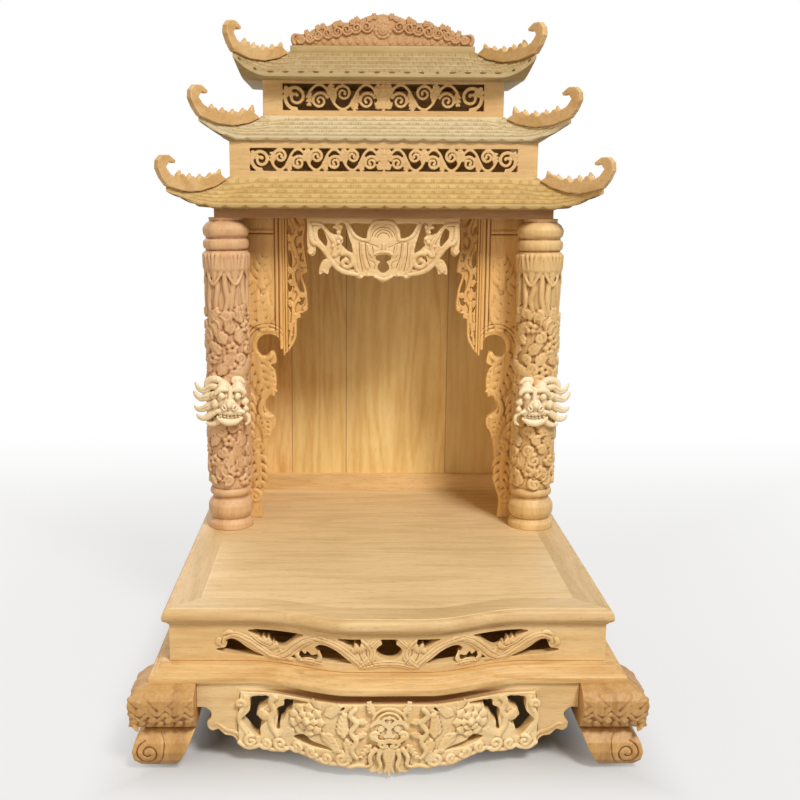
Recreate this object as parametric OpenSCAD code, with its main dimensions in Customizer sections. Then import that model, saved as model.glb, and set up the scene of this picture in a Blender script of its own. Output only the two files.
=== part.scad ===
// Carved wooden altar: a low serpentine table on scroll legs, with an open
// shrine of two columns under a three-tier roof. Millimetres, +Z up, the
// front faces -Y, and the origin is on the floor under the middle.

/* [Table top] */
// Width of the table top over its moulded edge
top_w = 612; // [560:1:700]
// Depth of the table top at its corners, from front edge to back
top_d = 618; // [560:1:720]
// Thickness of the table top
top_t = 22; // [18:1:30]
// How far the middle of the front swells forward
bow = 37; // [20:1:45]
// How far the front carving stands out past the swelling of the top
carving_reach = 25; // [23:1:35]

/* [Base] */
// Height of the legs
leg_h = 118; // [100:1:140]
// Width of a leg at its knee
leg_w = 89; // [80:1:100]
// How far the knees stand out past the lower frame
knee_out = 25; // [20:1:35]
// Thickness of the lower frame
frame_t = 20; // [16:1:28]
// How far the lower frame stands out past the table top
frame_out = 17; // [10:1:24]
// Height of the shallow box between the lower frame and the top
frieze_h = 54; // [44:1:70]
// Set-back of the shallow box from the edge of the top
frieze_in = 9; // [8:1:14]
// Thickness of the boards of the shallow box
frieze_t = 16; // [12:1:20]
// Thickness of the apron boards
apron_t = 18; // [14:1:22]

/* [Shrine] */
// Clear height from the table top to the ceiling
shrine_h = 512; // [440:1:600]
// How far the axes of the columns stand outside the lower storey
column_out = 8; // [0:1:20]
// Distance from the axes of the columns to the back of the altar
column_back = 237; // [210:1:280]
// Largest radius of a column, at its bulbs
column_r = 37; // [32:1:40]
// Radius of the carved shaft of a column
shaft_r = 32; // [26:1:34]
// Thickness of the back, side and wing boards
board_t = 12; // [9:1:16]
// Width of the opening between the wings
opening_w = 330; // [280:1:360]
// Width of a pendant beside the opening
drop_w = 40; // [30:1:50]
// Length of a pendant
drop_h = 230; // [180:1:280]
// Height of the valance at its middle
valance_h = 104; // [80:1:130]
// Height of the rail along the foot of the back panel
rail_h = 30; // [20:1:40]
// Thickness of the ceiling board
ceiling_t = 14; // [10:1:18]

/* [Roof] */
// Height of the lower roof
roof_low_h = 50; // [40:1:60]
// Height of the middle roof
roof_mid_h = 43; // [36:1:54]
// Height of the top roof up to its ridge
roof_top_h = 63; // [50:1:76]
// How far the lower eave stands out past the lower storey
low_eave = 45; // [36:1:54]
// How far the middle eave stands out past the upper storey
mid_eave = 55; // [46:1:64]
// How far the top eave stands out past the upper storey
top_eave = 33; // [26:1:40]
// Width of the lower storey
low_w = 490; // [450:1:530]
// Height of the lower storey
low_h = 54; // [44:1:66]
// Height of the upper storey
up_h = 56; // [44:1:66]
// Set-back of the upper storey from the lower, at the front and each side
storey_step = 50; // [40:1:60]
// Length of the ridge
ridge_w = 308; // [260:1:340]
// Height of the carved board on the ridge
crest_h = 52; // [40:1:64]
// Thickness of the carved board on the ridge and of the corner crests
crest_t = 11; // [8:1:14]

/* [Hidden] */
$fn = 64;

// Gap where a curved piece lies on another
seat = 0.3;
// Gap between a column and the wing behind it
wing_gap = 1;
// Gap between a pendant and the valance
valance_gap = 3;
// How far the front of the valance stands before the axes of the columns
valance_front = 13;
// How far the side panels stand out past the lower storey
panel_out = 3;
// How far the ceiling stands out past the lower storey, and before the columns
ceiling_out = 23;
ceiling_front = 27;

// Levels, from the floor up
z_frame = leg_h;
z_frieze = z_frame + frame_t;
z_top = z_frieze + frieze_h;
z_shrine = z_top + top_t;
z_ceiling = z_shrine + shrine_h;
z_roof_low = z_ceiling + ceiling_t;
z_low = z_roof_low + roof_low_h;
z_roof_mid = z_low + low_h;
z_up = z_roof_mid + roof_mid_h;
z_roof_top = z_up + up_h;
z_ridge = z_roof_top + roof_top_h;

// Depths, from the back forward
total_d = top_d + bow + carving_reach;
y_back = total_d / 2;
y_front = y_back - top_d;
y_column = y_back - column_back;
y_panel = y_back - board_t;
y_wing = y_column + column_r + wing_gap;

// Half widths of the storeys, and the axes of the columns
low_x = low_w / 2;
up_x = low_x - storey_step;
column_x = low_x + column_out;

// Plan sizes of the base
frieze_x = top_w / 2 - frieze_in;
frame_x = top_w / 2 + frame_out;
knee_x = frame_x + knee_out;
leg_x = knee_x - leg_w;
frame_y = y_front - frame_out;
leg_y = frame_y - knee_out + leg_w;
apron_in = 4;
back_leg_d = 70;

// Colours of the bare wood
golden = [0.87, 0.68, 0.42];
pale = [0.93, 0.80, 0.58];
greyish = [0.74, 0.63, 0.46];
pinkish = [0.82, 0.62, 0.46];
straw = [0.83, 0.74, 0.50];
cream = [0.95, 0.86, 0.68];

// The swelling of the front: flat in the middle, easing back to straight
bow_flat = 45;
bow_end = 185;
function ease(s) = (1 + cos(180 * min(1, max(0, s)))) / 2;
function swell(x) = bow * ease((abs(x) - bow_flat) / (bow_end - bow_flat));
function span_points(x0, x1, n) = [for (i = [0 : n]) x0 + (x1 - x0) * i / n];
function front_line(hw, y) = [
  for (x = concat([-hw], span_points(-bow_end, bow_end, 36), [hw])) [x, y - swell(x)]
];
function reversed(list) = [for (i = [len(list) - 1 : -1 : 0]) list[i]];

// A slab with the serpentine front, from z0 up by h
module front_slab(hw, y, z0, h) {
  translate([0, 0, z0]) linear_extrude(h)
    polygon(concat(front_line(hw, y), [[hw, y_back], [-hw, y_back]]));
}

// A bent board that follows the serpentine front
module front_board(hw, y, t, z0, h) {
  translate([0, 0, z0]) linear_extrude(h)
    polygon(concat(front_line(hw, y), reversed(front_line(hw, y + t))));
}

// Raise a flat outline drawn in X and Z into a board that faces the front
module facing_front(y, t) {
  translate([0, y + t, 0]) rotate([90, 0, 0]) linear_extrude(t) children();
}

// The same for a board that faces the side, its outline drawn in Y and Z
module facing_side(x, t) {
  translate([x, 0, 0]) rotate([90, 0, 90]) linear_extrude(t) children();
}

// Stretch an ornament drawn w0 wide and h0 high to the width w and height h
module fitted(w, w0, h, h0) { scale([w / w0, h / h0]) children(); }

module both_sides() {
  children();
  mirror([1, 0, 0]) children();
}

module on_side(side) {
  mirror([side < 0 ? 1 : 0, 0, 0]) children();
}

// ---------- legs ----------
// The outlines of knee and heel, drawn for a leg of this height
leg_drawn = 118;
function leg_points(list) = [for (p = list) [p[0], p[1] * leg_h / leg_drawn]];
function knee_line() = leg_points([
  [leg_w - 27, 0], [leg_w - 14, 6], [leg_w - 6, 16], [leg_w - 4, 28], [leg_w - 7, 40],
  [leg_w - 15, 50], [leg_w - 21, 56], [leg_w - 15, 60], [leg_w - 9, 66], [leg_w - 3, 80],
  [leg_w, 97], [leg_w - 2, 104], [leg_w - 11, 112], [leg_w - knee_out + 2, leg_drawn]
]);
function heel_line() = leg_points([
  [0, leg_drawn], [0, 57], [4, 48], [12, 30], [22, 12], [29, 3], [34, 0]
]);

module leg_outline() { polygon(concat(knee_line(), heel_line())); }

module back_leg_outline() {
  polygon(concat([[back_leg_d, 0], [back_leg_d, leg_h]], heel_line()));
}

module leg(side, at_front) {
  color(golden) on_side(side) intersection() {
    translate([0, at_front ? leg_y - leg_w : y_back - back_leg_d, 0]) rotate([90, 0, 0])
      translate([leg_x, 0, -leg_w]) linear_extrude(leg_w) leg_outline();
    if (at_front)
      translate([leg_x, leg_y, 0]) mirror([0, 1, 0]) rotate([90, 0, 90])
        linear_extrude(leg_w) leg_outline();
    else
      translate([leg_x, y_back - back_leg_d, 0]) rotate([90, 0, 90])
        linear_extrude(leg_w) back_leg_outline();
  }
}

// ---------- aprons ----------
// Lower edge of the apron from the middle to the leg, drawn for this half width
apron_drawn = 259;
function apron_edge() = [
  [0, 4], [6, 7], [12, 4], [18, 8], [23, 7], [30, 12], [40, 14], [52, 12], [64, 15], [78, 14],
  [90, 15], [104, 20], [116, 22], [130, 26], [144, 21], [160, 19], [172, 24], [180, 21],
  [192, 20], [203, 28], [210, 38], [222, 41], [230, 49], [238, 47], [244, 51], [246, 59],
  [241, 65], [240, 74], [248, 81], [apron_drawn, 81]
];
module apron_face(hw, scale_z) {
  half = [for (p = leg_points(apron_edge())) [p[0] * hw / apron_drawn, leg_h - (leg_h - p[1]) * scale_z]];
  polygon(concat(half, [[hw, leg_h]], [[-hw, leg_h]],
    reversed([for (i = [1 : len(half) - 1]) [-half[i][0], half[i][1]]])));
}

// Openings of the carved front apron
module apron_openings() {
  both_sides() {
    polygon([
      [157, 100], [183, 99], [187, 93], [187, 79], [195, 70], [198, 64], [189, 52], [181, 42],
      [173, 42], [173, 54], [166, 62], [170, 68], [178, 72], [175, 80], [166, 86]
    ]);
    polygon([
      [101, 102], [138, 101], [140, 91], [150, 84], [149, 69], [151, 55], [146, 55], [146, 65],
      [141, 70], [137, 79], [130, 84], [127, 94], [113, 98]
    ]);
    polygon([[73, 39], [85, 43], [104, 47], [109, 53], [118, 53], [128, 47], [114, 41], [99, 38]]);
    polygon([[59, 103], [79, 103], [67, 96], [60, 98]]);
  }
}

// How far the raised carving stays from the legs, and below the frame
carving_side = 59;
carving_x = leg_x - carving_side;
carving_drop = 14;
module apron_front() {
  y_board = frame_y + apron_in;
  relief = carving_reach - frame_out + apron_in;
  color(golden) difference() {
    intersection() {
      union() {
        front_board(leg_x, y_board, apron_t, 0, leg_h);
        front_board(carving_x, y_board - relief, relief + apron_t, 0, leg_h - carving_drop);
      }
      facing_front(-y_back, y_back) apron_face(leg_x, 1);
    }
    facing_front(-y_back, y_back) fitted(leg_x, apron_drawn, leg_h, leg_drawn) apron_openings();
  }
}

module apron_side(side) {
  y0 = leg_y;
  y1 = y_back - back_leg_d;
  color(golden) on_side(side) facing_side(frame_x - apron_in - apron_t, apron_t)
    translate([(y0 + y1) / 2, 0]) apron_face((y1 - y0) / 2, 0.8);
}

module apron_back() {
  color(golden) translate([-leg_x, y_back - apron_in - apron_t, leg_h - 50])
    cube([2 * leg_x, apron_t, 50]);
}

// ---------- lower frame, shallow box and top ----------
// Each row: set-back from the outer edge, lower level, height
module moulded_slab(hw, y, z0, rows) {
  for (row = rows)
    front_slab(hw - row[0], y + row[0], z0 + row[1], row[2]);
}

module lower_frame() {
  color(golden) moulded_slab(frame_x, frame_y, z_frame,
    [[0, 0, 9], [6, 9, 5], [12, 14, frame_t - 14]]);
}

module table_top() {
  color(greyish) moulded_slab(top_w / 2, y_front, z_top,
    [[7, 0, 5], [0, 5, top_t - 8], [3, top_t - 3, 3]]);
}

// Openings of the wavy vine, mirrored about the middle
module frieze_openings() {
  both_sides() {
    polygon([
      [167, 7], [180, 13], [193, 21], [205, 30], [215, 33], [222, 31], [219, 26], [222, 20],
      [229, 19], [234, 16], [215, 11], [191, 9]
    ]);
    polygon([
      [115, 46], [123, 40], [133, 31], [143, 24], [152, 25], [158, 31], [161, 37], [169, 37],
      [173, 33], [176, 36], [191, 45], [155, 46]
    ]);
    polygon([
      [46, 14], [60, 26], [74, 34], [90, 36], [98, 32], [98, 27], [96, 22], [104, 19], [112, 24],
      [119, 18], [121, 23], [126, 21], [134, 11], [83, 13]
    ]);
    polygon([[32, 47], [69, 47], [62, 43], [48, 35], [46, 41], [39, 36], [33, 41]]);
  }
  polygon([
    [-11, 47], [11, 47], [9, 41], [16, 35], [17, 29], [12, 22], [0, 18], [-12, 22], [-17, 29],
    [-16, 35], [-9, 41]
  ]);
}

module frieze_front() {
  y = y_front + frieze_in;
  color(golden) difference() {
    front_board(frieze_x, y, frieze_t, z_frieze, frieze_h);
    facing_front(-y_back, y_back) translate([0, z_frieze])
      fitted(frieze_x, 297, frieze_h, 54) frieze_openings();
  }
}

module frieze_side(side) {
  y0 = y_front + frieze_in + frieze_t;
  y1 = y_back - frieze_in - frieze_t;
  color(golden) on_side(side) facing_side(frieze_x - frieze_t, frieze_t) difference() {
    translate([y0, z_frieze]) square([y1 - y0, frieze_h]);
    translate([(y0 + y1) / 2, z_frieze])
      fitted((y1 - y0) / 2, 284, frieze_h, 54) frieze_openings();
  }
}

module frieze_back() {
  color(golden) translate([-frieze_x, y_back - frieze_in - frieze_t, z_frieze])
    cube([2 * frieze_x, frieze_t, frieze_h]);
}

// ---------- columns ----------
// Turned outline: radius against height over the table top
function base_turning() = [
  [0, 0], [column_r, 0], [column_r, 10], [column_r - 4, 14], [column_r - 6, 18], [column_r - 3, 21],
  [column_r, 28], [column_r, 40], [column_r - 4, 47], [column_r - 8, 51], [column_r - 8, 55],
  [column_r - 4, 58], [column_r - 3, 62], [column_r - 4, 66], [shaft_r - 2, 69], [shaft_r, 74]
];
function capital_turning() = [
  for (p = [[-5, 88], [0, 82], [0, 66], [-2, 54], [-6, 51], [-1, 48], [0, 42], [-1, 36], [-6, 32],
    [-1, 27], [0, 22], [0, 17], [-4, 10], [-11, 5], [-9, 0]]) [column_r + p[0], shrine_h - p[1]]
];

module column(side) {
  color(side < 0 ? pinkish : golden) on_side(side) translate([column_x, y_column, z_shrine])
    rotate_extrude() polygon(concat(base_turning(), capital_turning(), [[0, shrine_h]]));
}

// A head on the front of the shaft, its mane and whiskers sweeping out past the outer side
head_z = 218;
head_in = 38;
head_out = 56;
head_h = 78;
whisker = 22;
mane_out = 10;
muzzle_out = 24;
module dragon_head(side) {
  y0 = -shaft_r - mane_out;
  color(cream) on_side(side) translate([column_x, y_column, z_shrine + head_z]) difference() {
    union() {
      translate([-head_in, y0, -head_h / 2])
        cube([head_in + head_out - whisker, -8 - y0, head_h]);
      translate([0, y0 + 6, 8 - head_h / 2]) cube([head_out, -14 - y0, head_h - 16]);
      translate([0, -shaft_r, -6]) rotate([90, 0, 0]) cylinder(r = 18, h = muzzle_out);
    }
    translate([0, 0, -head_h]) cylinder(r = shaft_r + seat, h = 2 * head_h);
  }
}

// ---------- shrine boards ----------
side_x = low_x + panel_out;

module back_panel() {
  color(golden) translate([-side_x + board_t, y_panel, z_shrine])
    cube([2 * (side_x - board_t), board_t, shrine_h]);
}

module back_rail() {
  color(golden) translate([-side_x + board_t, y_panel - board_t, z_shrine])
    cube([2 * (side_x - board_t), board_t, rail_h]);
}

module side_panel(side) {
  color(golden) on_side(side) translate([side_x - board_t, y_wing + board_t, z_shrine])
    cube([board_t, y_back - y_wing - board_t, shrine_h]);
}

// Outline of a wing, as distance from the middle of the altar: a leafy stem that rises from
// the table top to a hooked scroll, in a round notch just under the pendant's tip
module wing_outline() {
  x_in = opening_w / 2;
  h_free = shrine_h - drop_h;
  wave = h_free / 282;
  stem = [
    [38, 0], [40, 30], [34, 52], [28, 70], [33, 86], [30, 108], [27, 132], [22, 150], [15, 162],
    [14, 178], [24, 184], [31, 193], [29, 206], [20, 218], [13, 226], [12, 244], [15, 258],
    [20, 266], [12, 271], [12, 282]
  ];
  notch = [
    [16, 8], [22, 7], [27, 0], [37, 1], [43, 10], [44, 20], [38, 32], [26, 37], [12, 34], [4, 24], [0, 10]
  ];
  polygon(concat(
    [[side_x, 0]],
    [for (p = stem) [x_in + p[0], p[1] * wave]],
    [for (p = notch) [x_in + p[0], h_free + p[1]]],
    [[x_in, shrine_h], [side_x, shrine_h]]
  ));
}

module wing(side) {
  color(golden) on_side(side) facing_front(y_wing, board_t) translate([0, z_shrine]) wing_outline();
}

// A pendant hanging on the inner edge of a wing
module drop(side) {
  x_in = opening_w / 2;
  color(golden) on_side(side) facing_front(y_wing, board_t) translate([x_in, z_ceiling])
    fitted(drop_w, 40, drop_h, 230) difference() {
    polygon([
      [0, 0], [-38, 0], [-37, -40], [-40, -70], [-32, -78], [-38, -110], [-39, -150], [-34, -170],
      [-24, -176], [-22, -200], [-12, -222], [-5, -230], [0, -226]
    ]);
    for (p = [[-18, -28], [-20, -60], [-14, -96], [-12, -136], [-10, -176]])
      translate(p) circle(r = p[1] > -100 ? 6 : 5);
  }
}

// The pierced valance, with a bell in the middle and scrolls beside it
module valance() {
  hw = opening_w / 2 - drop_w - valance_gap;
  color(pale) facing_front(y_column - valance_front, board_t) translate([0, z_ceiling])
    fitted(hw, 122, valance_h, 104) difference() {
    polygon([
      [-122, 0], [-122, -52], [-112, -54], [-102, -44], [-96, -60], [-108, -82], [-94, -80], [-86, -66],
      [-68, -82], [-34, -88], [-14, -96], [0, -104], [14, -96], [34, -88], [68, -82], [86, -66],
      [94, -80], [108, -82], [96, -60], [102, -44], [112, -54], [122, -52], [122, 0]
    ]);
    both_sides() {
      polygon([[26, -9], [50, -9], [44, -28], [30, -32]]);
      polygon([[58, -9], [64, -9], [54, -44], [50, -40]]);
      polygon([[70, -9], [88, -9], [78, -30], [70, -28]]);
      polygon([[98, -16], [104, -22], [98, -42], [92, -36]]);
      translate([54, -66]) circle(r = 8);
    }
    translate([0, -68]) circle(r = 8);
    translate([-4, -90]) square([8, 22]);
  }
}

ceiling_x = low_x + ceiling_out;
y_ceiling = y_column - ceiling_front;
module ceiling() {
  color(golden) translate([-ceiling_x, y_ceiling, z_ceiling])
    cube([2 * ceiling_x, y_back - y_ceiling, ceiling_t]);
}

// ---------- roofs ----------
// A roof is described by a list:
// [0] half width of its foot, [1] front of its foot, [2] level of its foot,
// [3] half width of its head, [4] front of its head, [5] level of its head,
// [6] run of the eave past the head at the sides, [7] the same at the front,
// [8] rise of the corners, [9] how far the corners sweep out,
// [10] where the sweep starts, back from the corner, [11] depth of the head, or 0 for a flat back
eave_t = 8;
eave_lift = 2;
y_low = y_column;
y_up = y_low + storey_step;
ridge_t = 16;
ridge_beam_h = 10;
y_ridge = (y_up - top_eave + y_back) / 2;
LOWER = [ceiling_x, y_ceiling, z_roof_low, low_x, y_low, z_low,
  low_eave, low_eave, 24, 42, 35, 0];
MIDDLE = [low_x, y_low, z_roof_mid, up_x, y_up, z_up,
  mid_eave, mid_eave, 26, 37, 32, 0];
TOP = [up_x, y_up, z_roof_top, ridge_w / 2, y_ridge - ridge_t / 2, z_ridge - ridge_beam_h,
  up_x + top_eave - ridge_w / 2, y_ridge - ridge_t / 2 - y_up + top_eave, 28, 10, 46, ridge_t];

function sweep(s) = pow(min(1, max(0, s)), 2);
function eave_x(r) = r[3] + r[6];
function eave_y(r) = r[4] - r[7];
// How far along the swept corner a point of the eave lies, 0 to 1
function swept(r, a, a_virtual) = sweep((a - a_virtual + r[10]) / (r[9] + r[10]));
function eave_z(r, k) = r[2] + eave_lift + r[8] * k;

// Places along one half of the eave, closer together at the swept corner
eave_steps = [for (i = [0 : 4]) i / 8, for (i = [1 : 9]) 0.5 + i / 18];
function front_station(r, s) = let (
    x = s * (eave_x(r) + r[9]),
    k = swept(r, x, eave_x(r))
  ) [[x, eave_y(r) - r[9] * k], [s * r[3], r[4]], k];
function side_station(r, s) = let (
    reach = y_back - eave_y(r) + r[9],
    y = y_back - s * reach,
    k = swept(r, -y, -eave_y(r)),
    head_back = r[11] > 0 ? r[4] + r[11] : y_back
  ) [[eave_x(r) + r[9] * k, y], [r[3], head_back + s * (r[4] - head_back)], k];
function half_stations(r) = concat(
  [for (s = eave_steps) front_station(r, s)],
  reversed([for (s = eave_steps) if (s < 1) side_station(r, s)]));
function mirror_station(st) = [[-st[0][0], st[0][1]], [-st[1][0], st[1][1]], st[2]];

// The section of a roof at a station, from its foot out to the eave and up to its head
slope_rows = [0, 0.25, 0.5, 0.75, 1];
// The slope hangs a little in the middle, and more towards the swept corners
function sag(k) = 2 + 13 * sqrt(k);
function slope_point(r, st, v) = [
  st[0][0] * (1 - v) + st[1][0] * v,
  st[0][1] * (1 - v) + st[1][1] * v,
  (eave_z(r, st[2]) + eave_t) * (1 - v) + r[5] * v - sag(st[2]) * 4 * v * (1 - v)
];
function foot_point(r, st) = let (
    head_back = r[11] > 0 ? r[4] + r[11] : y_back,
    foot_back = r[11] > 0 ? y_back - 1 : y_back,
    back_share = (st[1][1] - r[4]) / (head_back - r[4])
  ) [st[1][0] * r[0] / r[3], r[1] + back_share * (foot_back - r[1]), r[2]];
function section(r, st) = concat(
  [foot_point(r, st), [st[0][0], st[0][1], eave_z(r, st[2])]],
  [for (v = slope_rows) slope_point(r, st, v)]);

// Two triangles for the four corners a, b, c, d
function quad(a, b, c, d) = [[a, b, c], [a, c, d]];

// A level face across the roof: strips between the two sides, and a fan
// from the foremost pair of side stations to the stations of the front
function level_face(m, k, j, n) = let (mid = (m - 1) / 2, at = function(i) i * n + j) concat(
  [for (i = [0 : k - 2]) each quad(at(i), at(i + 1), at(m - 2 - i), at(m - 1 - i))],
  [for (f = [k : m - 2 - k]) [at(f < mid ? k - 1 : m - k), at(f), at(f + 1)]],
  [[at(k - 1), at(mid), at(m - k)]]);

module skirt_roof(r) {
  half = half_stations(r);
  left = reversed([for (i = [1 : len(half) - 1]) mirror_station(half[i])]);
  stations = concat(left, half);
  sections = [for (st = stations) section(r, st)];
  m = len(sections);
  n = len(sections[0]);
  k = len(eave_steps) - 1;
  skin = [for (i = [0 : m - 2]) for (j = [0 : n - 2])
    each quad(i * n + j, i * n + j + 1, (i + 1) * n + j + 1, (i + 1) * n + j)];
  back = [for (j = [0 : n - 2]) each quad(j + 1, j, (m - 1) * n + j, (m - 1) * n + j + 1)];
  head = [for (f = level_face(m, k, n - 1, n)) reversed(f)];
  polyhedron([for (s = sections) each s], concat(skin, back, level_face(m, k, 0, n), head));
}

module roof_lower() { color(straw) skirt_roof(LOWER); }
module roof_middle() { color(straw) skirt_roof(MIDDLE); }
module roof_top() {
  color(straw) skirt_roof(TOP);
  color(straw) translate([-ridge_w / 2, y_ridge - ridge_t / 2, z_ridge - ridge_beam_h])
    cube([ridge_w, ridge_t, ridge_beam_h]);
}

// ---------- corner crests ----------
// The hip runs from the head's corner to the tip; the crest stands on it
function hip(r, v) = let (
    st = front_station(r, 1),
    p = slope_point(r, st, v),
    d = [p[0] - r[3], p[1] - r[4]]
  ) [norm(d), p[2] + seat];

module crest_outline(r) {
  rows = [for (v = [0.75, 0.5, 0.25, 0]) hip(r, v)];
  tip = hip(r, 0);
  inner = rows[0] + (hip(r, 1) - rows[0]) * 0.7;
  polygon(concat([inner], rows, [
    tip + [10, 12], tip + [17, 26], tip + [16, 38], tip + [8, 46], tip + [-4, 46],
    tip + [-16, 38], tip + [-14, 34], tip + [-4, 36], tip + [2, 28], tip + [-6, 18],
    tip + [-18, 12], [rows[1][0], rows[1][1] + 16], [inner[0] + 18, inner[1] + 10]
  ]));
  for (f = [0.25, 0.42, 0.59, 0.76])
    translate([inner[0] + (tip[0] - inner[0]) * f, rows[1][1] + 16 + 14 * pow(2 * f - 1, 2)])
      circle(r = 6, $fn = 24);
}

module crest(r, side) {
  corner = front_station(r, 1)[0];
  turn = atan2(corner[1] - r[4], corner[0] - r[3]);
  color(golden) on_side(side) translate([r[3], r[4], 0]) rotate([0, 0, turn])
    translate([0, crest_t / 2, 0]) rotate([90, 0, 0]) linear_extrude(crest_t) crest_outline(r);
}

// ---------- storeys ----------
// Arabesque openings of one storey board, for a field of width w and height h
module storey_openings(w, h) {
  cell = w / 8;
  for (i = [-3.5 : 1 : 3.5]) {
    translate([i * cell, h * 0.68]) circle(r = h * 0.13);
    translate([(i + 0.22) * cell, h * 0.36]) circle(r = h * 0.09);
  }
}

module storey_front(hw, y, z, h) {
  color(golden) facing_front(y, board_t) translate([0, z]) difference() {
    translate([-hw, 0]) square([2 * hw, h]);
    storey_openings(2 * hw - 70, h);
  }
}

module storey_side(side, hw, y, z, h) {
  y0 = y + board_t;
  color(golden) on_side(side) facing_side(hw - board_t, board_t) difference() {
    translate([y0, z]) square([y_back - y0, h]);
    translate([(y0 + y_back) / 2, z]) storey_openings(y_back - y0 - 60, h);
  }
}

module storey_back(hw, z, h) {
  color(golden) translate([-hw + board_t, y_panel, z]) cube([2 * (hw - board_t), board_t, h]);
}

// ---------- ridge crest ----------
module ridge_crest() {
  hw = ridge_w / 2;
  edge = [[0, crest_h], [18, crest_h - 3], [40, crest_h - 9], [62, crest_h - 15], [84, crest_h - 17],
    [104, crest_h - 20], [118, crest_h - 27], [134, crest_h - 33], [hw - 6, crest_h - 32], [hw, crest_h - 38],
    [hw, 6], [hw - 6, 0]];
  color(pinkish) facing_front(y_ridge - crest_t / 2, crest_t) translate([0, z_ridge])
    polygon(concat(edge, reversed([for (p = edge) if (p[0] > 0) [-p[0], p[1]]])));
}

// ---------- assembly ----------
leg(-1, true);  // leg_front_left
leg(1, true);  // leg_front_right
leg(-1, false);  // leg_back_left
leg(1, false);  // leg_back_right
apron_front();
apron_side(-1);  // apron_left
apron_side(1);  // apron_right
apron_back();
lower_frame();
frieze_front();
frieze_side(-1);  // frieze_left
frieze_side(1);  // frieze_right
frieze_back();
table_top();
column(-1);  // column_left
column(1);  // column_right
dragon_head(-1);  // dragon_head_left
dragon_head(1);  // dragon_head_right
back_panel();
back_rail();
side_panel(-1);  // side_panel_left
side_panel(1);  // side_panel_right
wing(-1);  // wing_left
wing(1);  // wing_right
drop(-1);  // drop_left
drop(1);  // drop_right
valance();
ceiling();
roof_lower();
storey_front(low_x, y_low, z_low, low_h);  // storey_lower_front
storey_side(-1, low_x, y_low, z_low, low_h);  // storey_lower_left
storey_side(1, low_x, y_low, z_low, low_h);  // storey_lower_right
storey_back(low_x, z_low, low_h);  // storey_lower_back
roof_middle();
storey_front(up_x, y_up, z_up, up_h);  // storey_upper_front
storey_side(-1, up_x, y_up, z_up, up_h);  // storey_upper_left
storey_side(1, up_x, y_up, z_up, up_h);  // storey_upper_right
storey_back(up_x, z_up, up_h);  // storey_upper_back
roof_top();
ridge_crest();
crest(LOWER, -1);  // crest_lower_left
crest(LOWER, 1);  // crest_lower_right
crest(MIDDLE, -1);  // crest_middle_left
crest(MIDDLE, 1);  // crest_middle_right
crest(TOP, -1);  // crest_top_left
crest(TOP, 1);  // crest_top_right
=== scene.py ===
import math
import random
import bpy
import numpy as np
from mathutils import Matrix, Vector


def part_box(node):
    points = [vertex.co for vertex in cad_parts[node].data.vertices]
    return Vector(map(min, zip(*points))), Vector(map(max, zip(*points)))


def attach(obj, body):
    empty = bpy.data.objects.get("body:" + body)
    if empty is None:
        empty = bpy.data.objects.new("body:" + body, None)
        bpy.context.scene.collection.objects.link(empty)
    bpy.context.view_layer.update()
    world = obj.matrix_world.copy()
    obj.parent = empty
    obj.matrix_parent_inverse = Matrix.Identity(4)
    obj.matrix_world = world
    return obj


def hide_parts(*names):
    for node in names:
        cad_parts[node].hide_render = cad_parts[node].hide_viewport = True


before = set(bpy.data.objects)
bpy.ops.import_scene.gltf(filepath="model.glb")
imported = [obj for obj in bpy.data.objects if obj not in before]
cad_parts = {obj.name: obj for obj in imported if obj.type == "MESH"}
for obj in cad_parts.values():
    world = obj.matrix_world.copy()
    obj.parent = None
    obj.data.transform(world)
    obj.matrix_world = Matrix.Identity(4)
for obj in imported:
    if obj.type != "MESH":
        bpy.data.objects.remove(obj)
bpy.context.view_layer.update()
mm = 0.001


# ---------- view, light and floor ----------
# The altar stands on a plain pale floor in soft studio light, seen from a little above
# and slightly left of its middle.
yaw, pitch, roll = math.radians(0.72), math.radians(11.09), math.radians(0.3)
ahead = Vector((math.sin(yaw) * math.cos(pitch), math.cos(yaw) * math.cos(pitch), -math.sin(pitch)))
right = Vector((math.cos(yaw), -math.sin(yaw), 0))
up = right.cross(ahead)
right, up = (math.cos(roll) * right + math.sin(roll) * up, math.cos(roll) * up - math.sin(roll) * right)
stand_point = (-0.0527, -1.6258, 0.7675)
camera = bpy.data.objects.new("camera", bpy.data.cameras.new("camera"))
camera.data.lens, camera.data.shift_x = 47.84, 0.046
camera.matrix_world = Matrix.Translation(stand_point) @ Matrix(
    [[right[i], up[i], -ahead[i]] for i in range(3)]).to_4x4()
bpy.context.collection.objects.link(camera)
bpy.context.scene.camera = camera


def lamp(name, place, target, size, power, tint):
    light = bpy.data.lights.new(name, "AREA")
    light.size, light.energy, light.color = size, power, tint
    thing = bpy.data.objects.new(name, light)
    thing.location = place
    thing.rotation_euler = (Vector(target) - Vector(place)).to_track_quat("-Z", "Y").to_euler()
    bpy.context.collection.objects.link(thing)


lamp("key", (1.45, -2.75, 3.95), (0, 0.1, 0.45), 1.1, 190, (1, 0.98, 0.95))
lamp("fill", (-2.2, -2.6, 1.5), (0, 0, 0.5), 2.0, 30, (1, 0.80, 0.54))
lamp("behind", (-1.9, 3.0, 2.4), (0, 0, 0.5), 2.0, 46, (1, 0.95, 0.88))


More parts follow.
